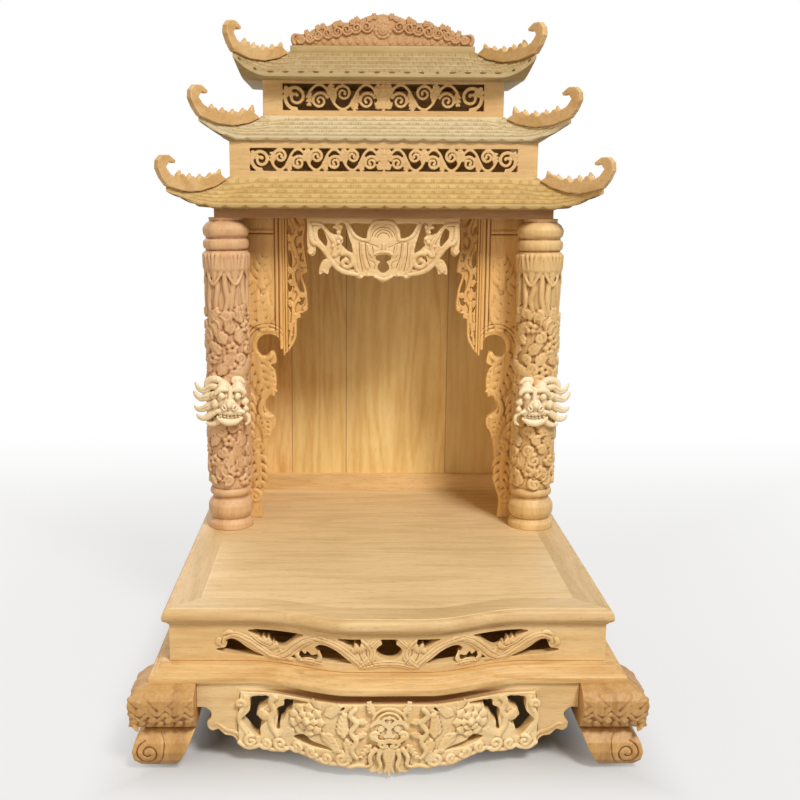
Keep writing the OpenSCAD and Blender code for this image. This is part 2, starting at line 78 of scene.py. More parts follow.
class Wire:
    """An output of a node. Arithmetic on it adds Math nodes."""

    def __init__(self, finish, socket):
        self.finish, self.socket = finish, socket

    def other(self, name):
        """Another output of the same node."""
        return Wire(self.finish, self.socket.node.outputs[name])

    def maths(self, operation, *values):
        return self.finish.node("Math", {"operation": operation}, dict(enumerate(values)))

    def __add__(self, other): return self.maths("ADD", self, other)
    def __radd__(self, other): return self.maths("ADD", other, self)
    def __sub__(self, other): return self.maths("SUBTRACT", self, other)
    def __rsub__(self, other): return self.maths("SUBTRACT", other, self)
    def __mul__(self, other): return self.maths("MULTIPLY", self, other)
    def __rmul__(self, other): return self.maths("MULTIPLY", other, self)
    def __pow__(self, other): return self.maths("POWER", self, other)

    def kept(self, low, high):
        """The share from 0 to 1 of the way from low to high."""
        return self.finish.node("MapRange", {"interpolation_type": "SMOOTHSTEP"},
                                {"Value": self, "From Min": low, "From Max": high})


class Finish:
    """The nodes of a material or of the room, added one by one."""

    def __init__(self, owner):
        self.owner = owner
        owner.use_nodes = True
        self.tree = owner.node_tree

    def own(self, name, socket):
        """An input, by its name, of a node that was there from the start."""
        return self.tree.nodes[name].inputs[socket]

    def node(self, kind, settings={}, sockets={}, output=0):
        made = self.tree.nodes.new("ShaderNode" + kind)
        for key, value in settings.items():
            setattr(made, key, value)
        for key, value in sockets.items():
            self.feed(made.inputs[key], value)
        return Wire(self, made.outputs[output])

    def feed(self, socket, value):
        if isinstance(value, Wire):
            self.tree.links.new(value.socket, socket)
        else:
            socket.default_value = value

    def blend(self, share, first, second):
        sockets = {0: share}
        for slot, colour in ((6, first), (7, second)):
            sockets[slot] = colour if isinstance(colour, Wire) else (*colour, 1)
        return self.node("Mix", {"data_type": "RGBA"}, sockets, output=2)

    def noise(self, vector, scale, detail, rough=0.5):
        sockets = {"Vector": vector, "Scale": scale, "Detail": detail, "Roughness": rough}
        return self.node("TexNoise", {}, sockets)

    def stretched(self, vector, scale):
        return self.node("Mapping", {}, {"Vector": vector, "Scale": scale})

    def stored(self, name):
        """A value that the mesh holds at every point."""
        return self.node("Attribute", {"attribute_name": name}, output=2)

    def material(self, colour, rough, strength, height):
        """The material, with a bump of this strength and height."""
        bump = self.node("Bump", {}, {"Strength": strength, "Distance": 0.0008, "Height": height})
        for socket, value in (("Base Color", colour), ("Roughness", rough), ("Normal", bump)):
            self.feed(self.own("Principled BSDF", socket), value)
        return self.owner

    def in_sight(self, output, hidden, shown, share=None):
        """Gives an output one shader, and another for what the camera sees, straight or by reflection."""
        path = self.node("LightPath")
        seen = path + path.other("Is Glossy Ray") + path.other("Is Transmission Ray")
        if share is not None:
            seen = seen * share
        under = Wire(self, self.tree.nodes[hidden].outputs[0])
        self.feed(self.own(output, "Surface"), self.node("MixShader", {}, {0: seen, 1: under, 2: shown}))


bpy.ops.object.select_all(action="DESELECT")
bpy.ops.mesh.primitive_plane_add(size=30)
floor = bpy.context.object
floor.name = "floor"
paper = Finish(bpy.data.materials.new("pale_floor"))
paper.own("Principled BSDF", "Base Color").default_value = (0.5, 0.5, 0.5, 1)
paper.own("Principled BSDF", "Roughness").default_value = 0.9
across = paper.node("SeparateXYZ", {}, {"Vector": paper.node("TexCoord", output=3)})
along = across.other("Y")
beside = across.maths("MAXIMUM", across.maths("ABSOLUTE", across), along.maths("ABSOLUTE", along))
# white far off, and left dark in the shade between the legs
near_share = 0.72
open_floor = beside.kept(0.22, 0.42) * (beside.kept(0.4, 1.8) * (1 - near_share) + near_share)
white = paper.node("Emission", {}, {"Color": (1, 1, 1, 1), "Strength": 1.0})
paper.in_sight("Material Output", "Principled BSDF", white, open_floor)
floor.data.materials.append(paper.owner)

room = Finish(bpy.data.worlds.new("room"))
bpy.context.scene.world = room.owner
room.own("Background", "Color").default_value = (1, 0.86, 0.66, 1)
room.own("Background", "Strength").default_value = 0.18
room.in_sight("World Output", "Background", room.node("Background", {}, {"Color": (1, 1, 1, 1)}))
bpy.context.scene.view_settings.view_transform = "Standard"


# ---------- wood ----------
# Plain unpainted softish hardwood, planed on the boards and cut with gouges on the carving:
# long flame-shaped grain and fine darker pores; on the carving, painted red-brown shade in the
# hollows and a painted highlight on the raised parts.
# The dark colour given last is that of the glue lines at the joints and of the painted shade in the
# carving's hollows.
def wood(name, light, dark, along, carved=False, figure=1.0, rough=0.52, seam_and_hollow_shade=(0.22, 0.075, 0.022),
         joints=()):
    f = Finish(bpy.data.materials.new(name))
    place = f.node("TexCoord", output=3)
    reach = {"x": (1.3, 13, 13), "y": (13, 1.3, 13), "z": (13, 13, 1.3)}[along]
    slow = f.noise(f.stretched(place, reach), 0.9, 2.5)
    rings = f.node("Math", {"operation": "SINE"}, {0: slow * (52 * figure)}) * 0.5 + 0.5
    drift = f.noise(place, 4.5, 3.0)
    fine = f.stretched(place, [v * 9 for v in reach])
    fibre = f.noise(fine, 1.6, 4.0, 0.65)
    pore = f.noise(fine, 5.5, 1.0).kept(0.62, 0.72)
    share = rings ** 2.2 * 0.5 + fibre.kept(0.36, 0.66) * 0.4 + drift.kept(0.38, 0.68) * 0.3
    colour = f.blend(share, light, dark)
    colour = f.blend(pore * 0.35, colour, [c * 0.5 for c in dark])
    height = fibre * 0.5 - pore * 0.6
    across = f.node("SeparateXYZ", {}, {"Vector": place})
    for at, tone in joints:
        gap = across - at * mm
        colour = f.blend(gap.maths("GREATER_THAN", gap, 0.0) * abs(tone), colour,
                         [min(1, c * (1.3 if tone > 0 else 0.6)) for c in light])
        seam = gap.maths("ABSOLUTE", gap).kept(0.0012, 0.0004)
        colour = f.blend(seam * 0.7, colour, seam_and_hollow_shade)
        height = height - seam * 1.5
    if carved:
        hollow = f.stored("hollow")
        # painted shade: the hollows of the carving go darker red-brown
        colour = f.blend(hollow.kept(0.04, 0.6) * 0.9, colour, seam_and_hollow_shade)
        # painted highlight: the raised parts of the carving go lighter
        colour = f.blend((hollow * -1).kept(0.1, 0.8) * 0.35, colour, [min(1, c * 1.25) for c in light])
        height = height + f.noise(place, 160.0, 2.0) * 0.8
    return f.material(colour, fibre * 0.16 + (rough - 0.06), 0.22, height)


board_x = wood("board_wood_x", (0.84, 0.60, 0.30), (0.66, 0.42, 0.17), "x")
board_z = wood("board_wood_z", (0.82, 0.57, 0.27), (0.64, 0.40, 0.15), "z")
carved_x = wood("carved_wood_x", (0.86, 0.63, 0.33), (0.70, 0.46, 0.20), "x", True, 0.7)
carved_y = wood("carved_wood_y", (0.80, 0.57, 0.28), (0.64, 0.41, 0.17), "y", True, 0.7)
carved_z = wood("carved_wood_z", (0.86, 0.55, 0.21), (0.68, 0.38, 0.115), "z", True, 0.7)


def pick_up(*things):
    """Selects these alone, the last one active."""
    bpy.ops.object.select_all(action="DESELECT")
    for thing in things:
        thing.select_set(True)
        bpy.context.view_layer.objects.active = thing


def finish_piece(piece, node, slot, smooth, *materials):
    """Puts the finish on, shades the piece, and seats it in the frame for its CAD node."""
    piece.data.materials.clear()
    for material in materials:
        piece.data.materials.append(material)
    pick_up(piece)
    bpy.ops.object.shade_smooth_by_angle(angle=math.radians(smooth))
    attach(piece, "root")
    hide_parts(node)


# ---------- front legs ----------
# Two front legs cut from thick blocks: a knee carved as a leafy beast mask over a smooth
# scroll foot, whose volute shows at the outer bottom. The gouge work is cut in the solid.
def smooth_line(points, finer=5, closed=False):
    """A smooth curve through points of any dimension."""
    points = np.array(points, float)
    if closed:
        ends = np.vstack([points[-1:], points, points[:2]])
    else:
        ends = np.vstack([2 * points[0] - points[1], points, 2 * points[-1] - points[-2]])
    line = []
    for i in range(len(points) - (0 if closed else 1)):
        a, b, c, d = ends[i:i + 4]
        line += [0.5 * (2 * b + (c - a) * t + (2 * a - 5 * b + 4 * c - d) * t * t
                        + (3 * b - a - 3 * c + d) * t ** 3) for t in np.arange(finer) / finer]
    return np.array(line if closed else line + [points[-1]])


def tube(points, radii, flat=1.0, sides=10, finer=5):
    """Verts and faces, in mm, of a tapered stroke through (x, y, z) points, flattened in depth."""
    radii = np.interp(np.linspace(0, 1, len(points)), np.linspace(0, 1, len(radii)), radii)
    line = smooth_line(np.column_stack([points, radii]), finer)
    thinnest, tip = 0.3, 0.7
    line, thick = line[:, :3], np.maximum(line[:, 3], thinnest)
    way = np.gradient(line, axis=0)
    way /= np.maximum(np.linalg.norm(way, axis=1), 1e-9)[:, None]
    side = np.stack([-way[:, 2], np.zeros(len(way)), way[:, 0] + 1e-6], 1)
    side /= np.linalg.norm(side, axis=1)[:, None]
    turn = np.arange(sides) * 2 * math.pi / sides
    depth = np.cross(way, side)
    verts = (line[:, None] + thick[:, None, None] * (np.cos(turn)[None, :, None] * side[:, None]
             + flat * np.sin(turn)[None, :, None] * depth[:, None])).reshape(-1, 3)
    n = len(line)
    faces = [(i * sides + j, i * sides + (j + 1) % sides, (i + 1) * sides + (j + 1) % sides,
              (i + 1) * sides + j) for i in range(n - 1) for j in range(sides)]
    tips = np.vstack([line[0] - way[0] * thick[0] * tip, line[-1] + way[-1] * thick[-1] * tip])
    faces += [((j + 1) % sides, j, n * sides) for j in range(sides)]
    faces += [((n - 1) * sides + j, (n - 1) * sides + (j + 1) % sides, n * sides + 1) for j in range(sides)]
    return np.vstack([verts, tips]), faces


def stroke(points, radii, y=0.0, flat=0.7):
    """A stroke through (x, z) points at depth y, of one radius or of several spread along it."""
    return tube([(x, y, z) for x, z in points], np.atleast_1d(radii), flat)


def strokes(y, flat, *rows):
    """Strokes of (points, radii) that share a depth and a flatness."""
    return [stroke(points, radii, y, flat) for points, radii in rows]


def bead(x, z, r, y=0.0, flat=0.8):
    """A rounded lump."""
    return stroke([(x + r * a, z) for a in (-0.6, -0.3, 0, 0.3, 0.6)],
                  [r * 0.72, r * 0.94, r, r * 0.94, r * 0.72], y, flat)


def beads(y, flat, *rows):
    """Lumps of (x, z, radius) that share a depth and a flatness."""
    return [bead(x, z, r, y, flat) for x, z, r in rows]


def polar(x, z, r, angle):
    """The point at a distance and an angle, in radians, from (x, z)."""
    return x + r * math.cos(angle), z + r * math.sin(angle)


def spiral(x, z, r, start, turns, inner=0.18):
    """Points of a line that winds in to a share of its radius; start in degrees."""
    n = max(8, int(abs(turns) * 12))
    return [polar(x, z, r * (1 - (1 - inner) * i / n), math.radians(start) + turns * 2 * math.pi * i / n)
            for i in range(n + 1)]


def curl(x, z, r, start, turns, wide, thin, y=0.0, flat=0.7):
    """A scroll that winds in to its eye; the sign of its turns is its hand."""
    points = spiral(x, z, r, start, turns)
    return [stroke(points, [wide, thin], y, flat), bead(*points[-1], thin * 1.5, y, flat)]


def leaf(x, z, heading, length, width, bend=0.0, y=0.0, flat=0.55, lobes=5, slim=1.0):
    """An acanthus leaf: a rib with gouged lobes fanning forward along both sides."""
    rib = [np.array((x, z), float)]
    for i in range(6):
        angle = math.radians(heading + bend * i / 5)
        rib.append(rib[-1] + length / 6 * np.array((math.cos(angle), math.sin(angle))))
    made = [stroke(rib, [width * 0.2 * slim, width * 0.16 * slim, width * 0.06], y, flat)]
    for i in range(lobes):
        t = (i + 0.4) / lobes
        k = min(5, int(t * 6))
        base = rib[k] + (rib[k + 1] - rib[k]) * (t * 6 - k)
        reach = width * (0.62 - 0.38 * t)
        for hand in (-1, 1):
            a1, a2 = (math.radians(heading + bend * t + hand * a) for a in (58, 22))
            middle = base + reach * 0.55 * np.array((math.cos(a1), math.sin(a1)))
            tip = middle + reach * 0.6 * np.array((math.cos(a2), math.sin(a2)))
            made.append(stroke([base, middle, tip],
                               [width * 0.12 * slim, width * 0.14 * slim, width * 0.05 * slim], y, flat))
    return made


def leaves(y, flat, *rows):
    """Leaves of (x, z, heading, length, width, bend, lobes, slim) that share a depth and a flatness."""
    return sum((leaf(*row[:6], y, flat, *row[6:]) for row in rows), [])


def blossom(x, z, r, petals, y, flat):
    """A flower: a boss in two rings of petals."""
    made = [bead(x, z, r * 0.22, y - r * 0.16, 0.9)]
    for ring, (near, far, size, count) in enumerate(
        ((0.2, 0.42, 0.2, petals - 3), (0.42, 0.76, 0.26, petals))):
        for i in range(count):
            a = 2 * math.pi * (i + ring * 0.5) / count
            made.append(stroke([polar(x, z, r * near, a), polar(x, z, r * far, a)],
                               [r * size * 0.5, r * size], y - r * 0.1 * (1 - ring), flat))
    return made


def flipped(points):
    return [(-x, z) for x, z in points]


def mirrored(parts):
    return parts + [(verts * np.array([-1.0, 1, 1]), faces) for verts, faces in parts]


def mirrored_cuts(cuts):
    return cuts + [(flipped(points), width, depth) for points, width, depth in cuts]


def both_sides(holes):
    """Each opening, smoothed, on the left and on the right."""
    return [smooth_line([(s * x, z) for x, z in hole], 3, True) for hole in holes for s in (-1, 1)]


def plate(outline, holes, front, back):
    """A flat board with openings, from loops of (x, z) points."""
    curve = bpy.data.curves.new("plate", "CURVE")
    curve.dimensions, curve.fill_mode, curve.extrude = "2D", "BOTH", (back - front) / 2
    for loop in [outline] + list(holes):
        loop = [p for p, q in zip(loop, list(loop[1:]) + [loop[0]]) if math.dist(p, q) > 0.05]
        spline = curve.splines.new("POLY")
        spline.points.add(len(loop) - 1)
        spline.points.foreach_set("co", [c for x, z in loop for c in (x, z, 0, 1)])
        spline.use_cyclic_u = True
    thing = bpy.data.objects.new("plate", curve)
    mesh = bpy.data.meshes.new_from_object(thing)
    verts = np.array([(v.co.x, (front + back) / 2 + v.co.z, v.co.y) for v in mesh.vertices])
    faces = [tuple(p.vertices) for p in mesh.polygons]
    bpy.data.objects.remove(thing)
    return verts, faces


def box_of(name):
    """The low and the high corner of a CAD node, in mm."""
    return [[v / mm for v in corner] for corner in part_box(name)]


def edit_all(*steps):
    """Runs these steps in edit mode, on all of the active piece's mesh."""
    bpy.ops.object.mode_set(mode="EDIT")
    bpy.ops.mesh.select_all(action="SELECT")
    for step in steps:
        step()
    bpy.ops.object.mode_set(mode="OBJECT")


def of_node(name):
    """A closed copy of a CAD node, in mm, to carve from."""
    thing = bpy.data.objects.new("copy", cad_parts[name].data.copy())
    bpy.context.collection.objects.link(thing)
    pick_up(thing)
    edit_all(lambda: bpy.ops.mesh.remove_doubles(threshold=0.00001))
    verts = np.array([v.co for v in thing.data.vertices]) / mm
    faces = [tuple(p.vertices) for p in thing.data.polygons]
    bpy.data.objects.remove(thing)
    return verts, faces


def read(items, kind, width=3, number=float):
    """One value of every vertex, normal or edge, as rows."""
    values = np.empty(len(items) * width, number)
    items.foreach_get(kind, values)
    return values.reshape(-1, width)


def mark(mesh, name, values):
    """Stores a value at every point, for a material to read."""
    mesh.attributes.new(name, "FLOAT", "POINT").data.foreach_set("value", values.astype(np.float32))


def mark_hollows(mesh, rounds=7, full=0.0011):
    """Stores how far each point lies under its surroundings, for the painted shade in the hollows and the
    painted highlight on the raised parts.
    """
    n = len(mesh.vertices)
    place, out = read(mesh.vertices, "co"), read(mesh.vertex_normals, "vector")
    a, b = read(mesh.edges, "vertices", 2, np.int64).T
    near = np.maximum(np.bincount(a, minlength=n) + np.bincount(b, minlength=n), 1)[:, None]
    soft = place.copy()
    for _ in range(rounds):
        soft = np.stack([np.bincount(a, soft[b, k], n) + np.bincount(b, soft[a, k], n) for k in range(3)],
                        1) / near
    mark(mesh, "hollow", ((soft - place) * out).sum(1) / full)


def cut_grooves(mesh, cuts):
    """Presses V-shaped gouge cuts, (points, half width, depth), into what faces the front."""
    place, out = read(mesh.vertices, "co") / mm, read(mesh.vertex_normals, "vector")
    pressed, in_front = np.zeros(len(place)), out[:, 1] < -0.25
    for points, width, depth in cuts:
        line = smooth_line(points, 4)
        low, high = line.min(0) - width, line.max(0) + width
        near = np.nonzero((place[:, 0] > low[0]) & (place[:, 0] < high[0]) & (place[:, 2] > low[1])
                          & (place[:, 2] < high[1]) & in_front)[0]
        if not len(near):
            continue
        spot = place[near][:, (0, 2)]
        away = np.full(len(near), 1e9)
        for a, b in zip(line[:-1], line[1:]):
            t = np.clip(((spot - a) @ (b - a)) / max(((b - a) ** 2).sum(), 1e-9), 0, 1)
            away = np.minimum(away, np.linalg.norm(spot - a - t[:, None] * (b - a), axis=1))
        pressed[near] = np.maximum(pressed[near], depth * np.clip(1 - away / width, 0, 1) * -out[near, 1])
    place[:, 1] += pressed
    mesh.vertices.foreach_set("co", (place * mm).ravel())


def build(name, verts, faces):
    """A new piece from points in mm, picked up."""
    mesh = bpy.data.meshes.new(name)
    mesh.from_pydata((np.array(verts) * mm).tolist(), [], faces)
    piece = bpy.data.objects.new(name, mesh)
    bpy.context.collection.objects.link(piece)
    pick_up(piece)
    return piece


def turn_out():
    """Makes the faces of the active piece point outwards."""
    edit_all(lambda: bpy.ops.mesh.normals_make_consistent(inside=False))


def modify(piece, kind, **settings):
    """Adds a modifier with these settings, and applies it."""
    modifier = piece.modifiers.new(kind.lower(), kind)
    for key, value in settings.items():
        setattr(modifier, key, value)
    bpy.ops.object.modifier_apply(modifier=modifier.name)


def carve(name, parts, grain, keep, cuts=(), bend=None, rounds=2, inside=None):
    """Unites rough bodies and strokes into one carved solid, cuts its gouge lines and bends it.

    grain is the size of the finest detail in mm, keep the share of faces left, rounds the easing,
    and inside the two corners of the box that the piece may fill.
    """
    faces, n = [], 0
    for v, f in parts:
        faces += [tuple(i + n for i in face) for face in f]
        n += len(v)
    piece = build(name, np.vstack([v for v, f in parts]), faces)
    modify(piece, "REMESH", mode="VOXEL", voxel_size=grain * mm)
    modify(piece, "SMOOTH", factor=0.5, iterations=rounds)
    if cuts:
        cut_grooves(piece.data, cuts)
    mark_hollows(piece.data)
    modify(piece, "DECIMATE", ratio=keep)
    place = read(piece.data.vertices, "co") / mm
    if bend:
        place = bend(place)
    if inside:
        place = np.clip(place, *inside)
    piece.data.vertices.foreach_set("co", (place * mm).ravel())
    turn_out()
    return piece


sides = ((-1, "left"), (1, "right"))
knee_wood = wood("knee_wood", (0.62, 0.37, 0.14), (0.42, 0.22, 0.065), "z", True, 0.7)
knee_profile = ([0, 6, 16, 28, 40, 50, 56, 60, 66, 80, 97, 104, 112, 118],
                [62, 75, 83, 85, 82, 74, 68, 74, 80, 86, 89, 87, 78, 66])
mask = strokes(0, 0.8, ([(4, 106), (16, 98), (27, 88), (36, 78)], [3, 4.2, 2]),
               ([(84, 106), (72, 98), (61, 88), (52, 78)], [3, 4.2, 2]),
               ([(24, 110), (34, 103), (44, 94), (44, 84)], [3.2, 3.6, 2]),
               ([(64, 110), (54, 103), (44, 94)], [3.2, 3.6]))
mask += leaf(44, 98, 90, 18, 34, 0, 0, 0.5, 3)
for level in (88, 78):
    mask.append(stroke([(3 + 11.5 * i, level + (6 if i % 2 else -4)) for i in range(8)], 3.2, 0, 0.9))
mask += beads(-0.5, 0.8, (18, 90, 6), (70, 90, 6)) + beads(-1, 0.8, (34, 74, 6.5), (56, 74, 6.5))
mask += beads(0, 0.8, (8, 72, 6), (80, 72, 6))
mask += [stroke([(x, 72), (x + 2, 66), (x + 7, 62)], [4.2, 4.8, 2.2], 0, 0.8)
         for x in np.arange(7) * 12.5 + 7]
for side, word in sides:
    low, high = box_of("leg_front_" + word)
    inner, rear = (high[0] if side < 0 else low[0]), high[1]
    parts = [of_node("leg_front_" + word)]
    for v, f in mask:
        stand = np.interp(v[:, 2], *knee_profile)
        parts.append((np.stack([inner + side * v[:, 0], rear - stand + v[:, 1], v[:, 2]], 1), f))
        parts.append((np.stack([inner + side * (stand - v[:, 1]), rear - v[:, 0], v[:, 2]], 1), f))
    cuts = [([(inner + side * x, z) for x, z in spiral(63, 26, 17, 75, -1.6)], 1.8, 2.6),
            ([(inner + side * x, 57) for x in (0, 30, 60, 84)], 3.0, 4.0),
            ([(inner + side * x, z) for x, z in ((47, 52), (42, 40), (44, 20), (52, 8))], 1.6, 1.8)]
    leg = carve("front_leg_" + word, parts, 1.15, 0.5, cuts, inside=(low, high))
    finish_piece(leg, "leg_front_" + word, "knee_wood", 60, knee_wood)


# ---------- aprons ----------
# The front apron: a serpentine board with plain ends and top rail, pierced and carved with a
# beast mask in the middle, a flower in leaves on each side and C-shaped openings at the ends.
bow, flat_half, run_out = 37, 45, 140


def swell(x):
    """How far the serpentine front stands out at x."""
    return bow * (1 + np.cos(math.pi * np.clip((np.abs(x) - flat_half) / run_out, 0, 1))) / 2


def serpentine(front, level=0.0):
    """A bend that lays flat work along the serpentine front, its foot at a level."""
    return lambda v: np.stack([v[:, 0], v[:, 1] + front - swell(v[:, 0]), v[:, 2] + level], 1)


def on_side(name, side, share=1.0, level=0.0):
    """A bend that stands work drawn for the front on a side board, its length changed by a share."""
    low, high = box_of(name)
    middle, face_x = (high[1] + low[1]) / 2, (low[0] if side < 0 else high[0])
    return lambda v: np.stack([face_x - side * v[:, 1], middle + side * v[:, 0] * share, v[:, 2] + level],
                              1)


def half_length(name):
    low, high = box_of(name)
    return (high[1] - low[1]) / 2


edge = [(0, 5), (6, 8), (12, 5), (18, 8), (23, 7), (30, 12), (40, 14), (52, 12), (64, 15), (78, 14),
        (90, 15), (104, 20), (116, 22), (130, 26), (144, 21), (160, 19), (172, 24), (180, 21), (192, 20),
        (203, 28), (210, 38), (222, 41), (230, 49), (238, 47), (244, 51), (246, 59), (241, 65), (240, 74),
        (248, 81), (259, 81)]
both = flipped(edge[::-1]) + edge[1:]
apron_half, rail_z, thick = 259, 118, 18
outline = list(smooth_line(both, 3)) + [(apron_half, rail_z), (-apron_half, rail_z)]
c_hole = [(158, 100), (183, 99), (187, 93), (187, 79), (195, 70), (198, 64), (189, 52), (181, 42),
          (173, 42), (173, 54), (166, 62), (170, 68), (178, 72), (175, 80), (166, 86)]
hooked = [(103, 101), (138, 100), (140, 91), (150, 84), (149, 69), (151, 55), (146, 55), (146, 65),
          (141, 70), (137, 79), (130, 84), (127, 94), (113, 98)]
low_hole = [(73, 38), (85, 43), (104, 47), (109, 53), (118, 53), (128, 47), (114, 41), (99, 38)]
top_hole = [(60, 101), (78, 101), (67, 95), (60, 97)]
holes = both_sides([c_hole, hooked, low_hole, top_hole])
inner = [p for p in both if abs(p[0]) < 204]
field = list(smooth_line([(x, z + 1) for x, z in inner], 3)) + [
    (203, 60), (199, 105), (-199, 105), (-203, 60)]

half = [stroke(smooth_line([(x, z + 4.5) for x, z in edge[5:20]], 2)[::2], 3.2, -3.5),
        stroke([(196, 34), (206, 44), (220, 49), (231, 57), (238, 56)], [3, 2.4, 1.6], 0, 0.6)]
for x, z, r, start, turns in ((62, 27, 9, 200, 1.2), (84, 26, 8, -20, -1.1), (104, 31, 8, 200, 1.1),
                              (124, 35, 8, -30, -1.1), (146, 34, 10, 210, 1.2), (166, 32, 8, -30, -1.1),
                              (186, 34, 9, 120, -1.1), (166, 74, 8.5, 60, -0.9), (200, 88, 7, 200, -0.9)):
    half += curl(x, z, r, start, turns, 3.4, 2.2, -4.5, 0.8)
half += [stroke([(152, 102), (158, 93), (154, 80), (159, 70), (157, 56), (150, 44)], [5.5, 4, 4.5, 3.5], -4,
                0.6),
         stroke([(192, 100), (193, 86), (201, 72), (200, 58), (191, 44)], [3, 3.6, 3.2, 2.2], -3.5, 0.6),
         bead(168, 74, 7, -4, 0.6)]
half += blossom(110, 76, 27, 9, -5, 0.42)
half += leaves(-5, 0.5, (88, 60, 215, 30, 18, 30), (84, 88, 150, 26, 16, -20))
half += leaf(128, 58, -40, 24, 15, 30, -4, 0.5, 4) + leaf(92, 96, 60, 16, 12, -30, -4.5, 0.5, 3)
half += leaves(-6, 0.5, (60, 60, 80, 34, 18, 30), (56, 56, 250, 32, 16, 30))
half += leaf(46, 30, 15, 26, 12, 15, -5, 0.5, 4)
half += [stroke([(44, 102), (51, 92), (43, 81), (50, 68), (43, 55), (49, 42), (42, 30)],
                [3.6, 4.2, 3.4, 3.8, 2.4], -8, 0.7)]
half += leaf(20, 95, 55, 20, 13, 30, -9, 0.6, 4)
half += leaves(-8, 0.6, (30, 82, 20, 18, 12, -30, 4), (30, 66, -10, 18, 12, -40, 4),
               (24, 50, -45, 24, 13, -20, 4))
for r in (11, 17, 23):
    half.append(stroke([(r * math.sin(a), 80 + r * math.cos(a)) for a in np.linspace(0, 1.25, 6)], 1.7,
                       -13 + r * 0.16, 0.9))
half += [stroke([(2, 78), (9, 84), (18, 84), (25, 78)], [2.6, 3.4, 1.6], -12, 0.9),
         bead(11, 75, 4.6, -12, 0.9)]
half += curl(19, 63, 7, 140, -1.1, 2.8, 1.8, -10, 0.8)
half += [stroke([(0, 58), (9, 56), (17, 59), (24, 66)], [3, 2.6, 1.4], -11, 0.9),
         bead(4.5, 65, 3.4, -13, 0.9), stroke([(2, 50), (9, 49), (15, 53)], [2.6, 2.2, 1.2], -11, 0.9)]
half += beads(-12, 0.8, (6, 53, 1.8), (12, 54, 1.6))
half += [stroke([(3, 45), (5, 34), (2, 22), (6, 11)], [3.6, 3.2, 3, 1.6], -9, 0.8),
         stroke([(10, 45), (14, 32), (11, 20), (16, 12)], [3.6, 3.2, 2.8, 1.4], -8, 0.8),
         stroke([(17, 45), (25, 33), (24, 21), (31, 18)], [3.6, 3.2, 2.6, 1.4], -7, 0.8)]
mask = [bead(0, 72, 24, -4, 0.3), stroke([(0, 82), (0, 72), (0, 65)], [2.2, 3, 4.6], -12, 0.9),
        bead(0, 91, 3.2, -12), stroke([(0, 46), (0, 6)], [3.4, 1.8], -9, 0.8)]
apron = carve("front_apron",
              [plate(outline, holes, 0, thick), plate(field, holes, -4, 14)] + mask + mirrored(half), 0.95,
              0.4, bend=serpentine(-291), inside=((-apron_half, -340, 3.6), (apron_half, -230, rail_z)))
apron_wood = wood("apron_wood", (0.95, 0.74, 0.42), (0.80, 0.56, 0.26), "x", True, 0.7)
finish_piece(apron, "apron_front", "pale_wood", 60, apron_wood, carved_x)
plain_end = 206 * mm
for polygon in apron.data.polygons:
    polygon.material_index = int(abs(polygon.center.x) > plain_end)
# Plainer aprons at the sides: the same edge, drawn to their own length, with a raised rim and a
# row of scrolls and leaves.
side_drop = 0.8
for side, word in sides:
    reach = half_length("apron_" + word)
    flat = [(x * reach / apron_half, rail_z - (rail_z - z) * side_drop) for x, z in both]
    rim = [stroke([(x, z + 5) for x, z in flat[i:i + 12]], 2.4, -1.2, 0.7)
           for i in range(0, len(flat) - 11, 11)]
    for x in range(-150, 151, 50):
        rim += curl(x, 72, 14, *((200, 1.2) if x % 100 else (-20, -1.2)), 3.6, 2.4, -1)
        rim += leaf(x + 25, 64, 90, 34, 16, 20, -1, 0.5, 4)
    board = plate(list(smooth_line(flat, 3)) + [(reach, rail_z), (-reach, rail_z)], [], 0, thick)
    piece = carve("side_apron_" + word, [board] + rim, 1.3, 0.35, bend=on_side("apron_" + word, side))
    finish_piece(piece, "apron_" + word, "golden_wood", 60, carved_y)


# ---------- lower frame and table top ----------
# Two slabs with the serpentine front, worked all round with a moulding: an ogee with a small
# step under the shallow box, and a bullnose on the top, whose panel sits in a mitred border.
back_line = 340


def moulding(name, half_width, front, level, rows):
    """A slab whose rows of (set-back, height) run along the front and the sides.

    A third number sets the rear edge in. Gives the piece and how many points a row has.
    """
    share = np.linspace(-1, 1, 97)
    verts, n = [], len(share) + 2
    for back, height, *rear in rows:
        x, rear_y = share * (half_width - back), back_line - sum(rear)
        verts += [(a, front + back - swell(a), level + height) for a in x]
        verts += [(x[-1], rear_y, level + height), (x[0], rear_y, level + height)]
    faces = [(i * n + j, i * n + (j + 1) % n, (i + 1) * n + (j + 1) % n, (i + 1) * n + j)
             for i in range(len(rows) - 1) for j in range(n)]
    faces += [tuple(reversed(range(n))), tuple(range((len(rows) - 1) * n, len(rows) * n))]
    return build(name, verts, faces), n


frame_wood = wood("frame_wood", (0.78, 0.54, 0.25), (0.60, 0.35, 0.12), "x", figure=1.5)
slab, _ = moulding("moulded_frame", 323, -295, 118,
                   [(0, 0), (0, 6.4), (0.4, 7.6), (1.4, 8.8), (3.2, 9.6), (5.4, 10), (6, 10.6), (6.2, 12),
                    (7, 13.4), (9, 14.4), (11.4, 14.9), (12, 15.6), (12.2, 17), (12.8, 18.6), (14, 19.6),
                    (16, 20)])
finish_piece(slab, "lower_frame", "golden_wood", 34, frame_wood)
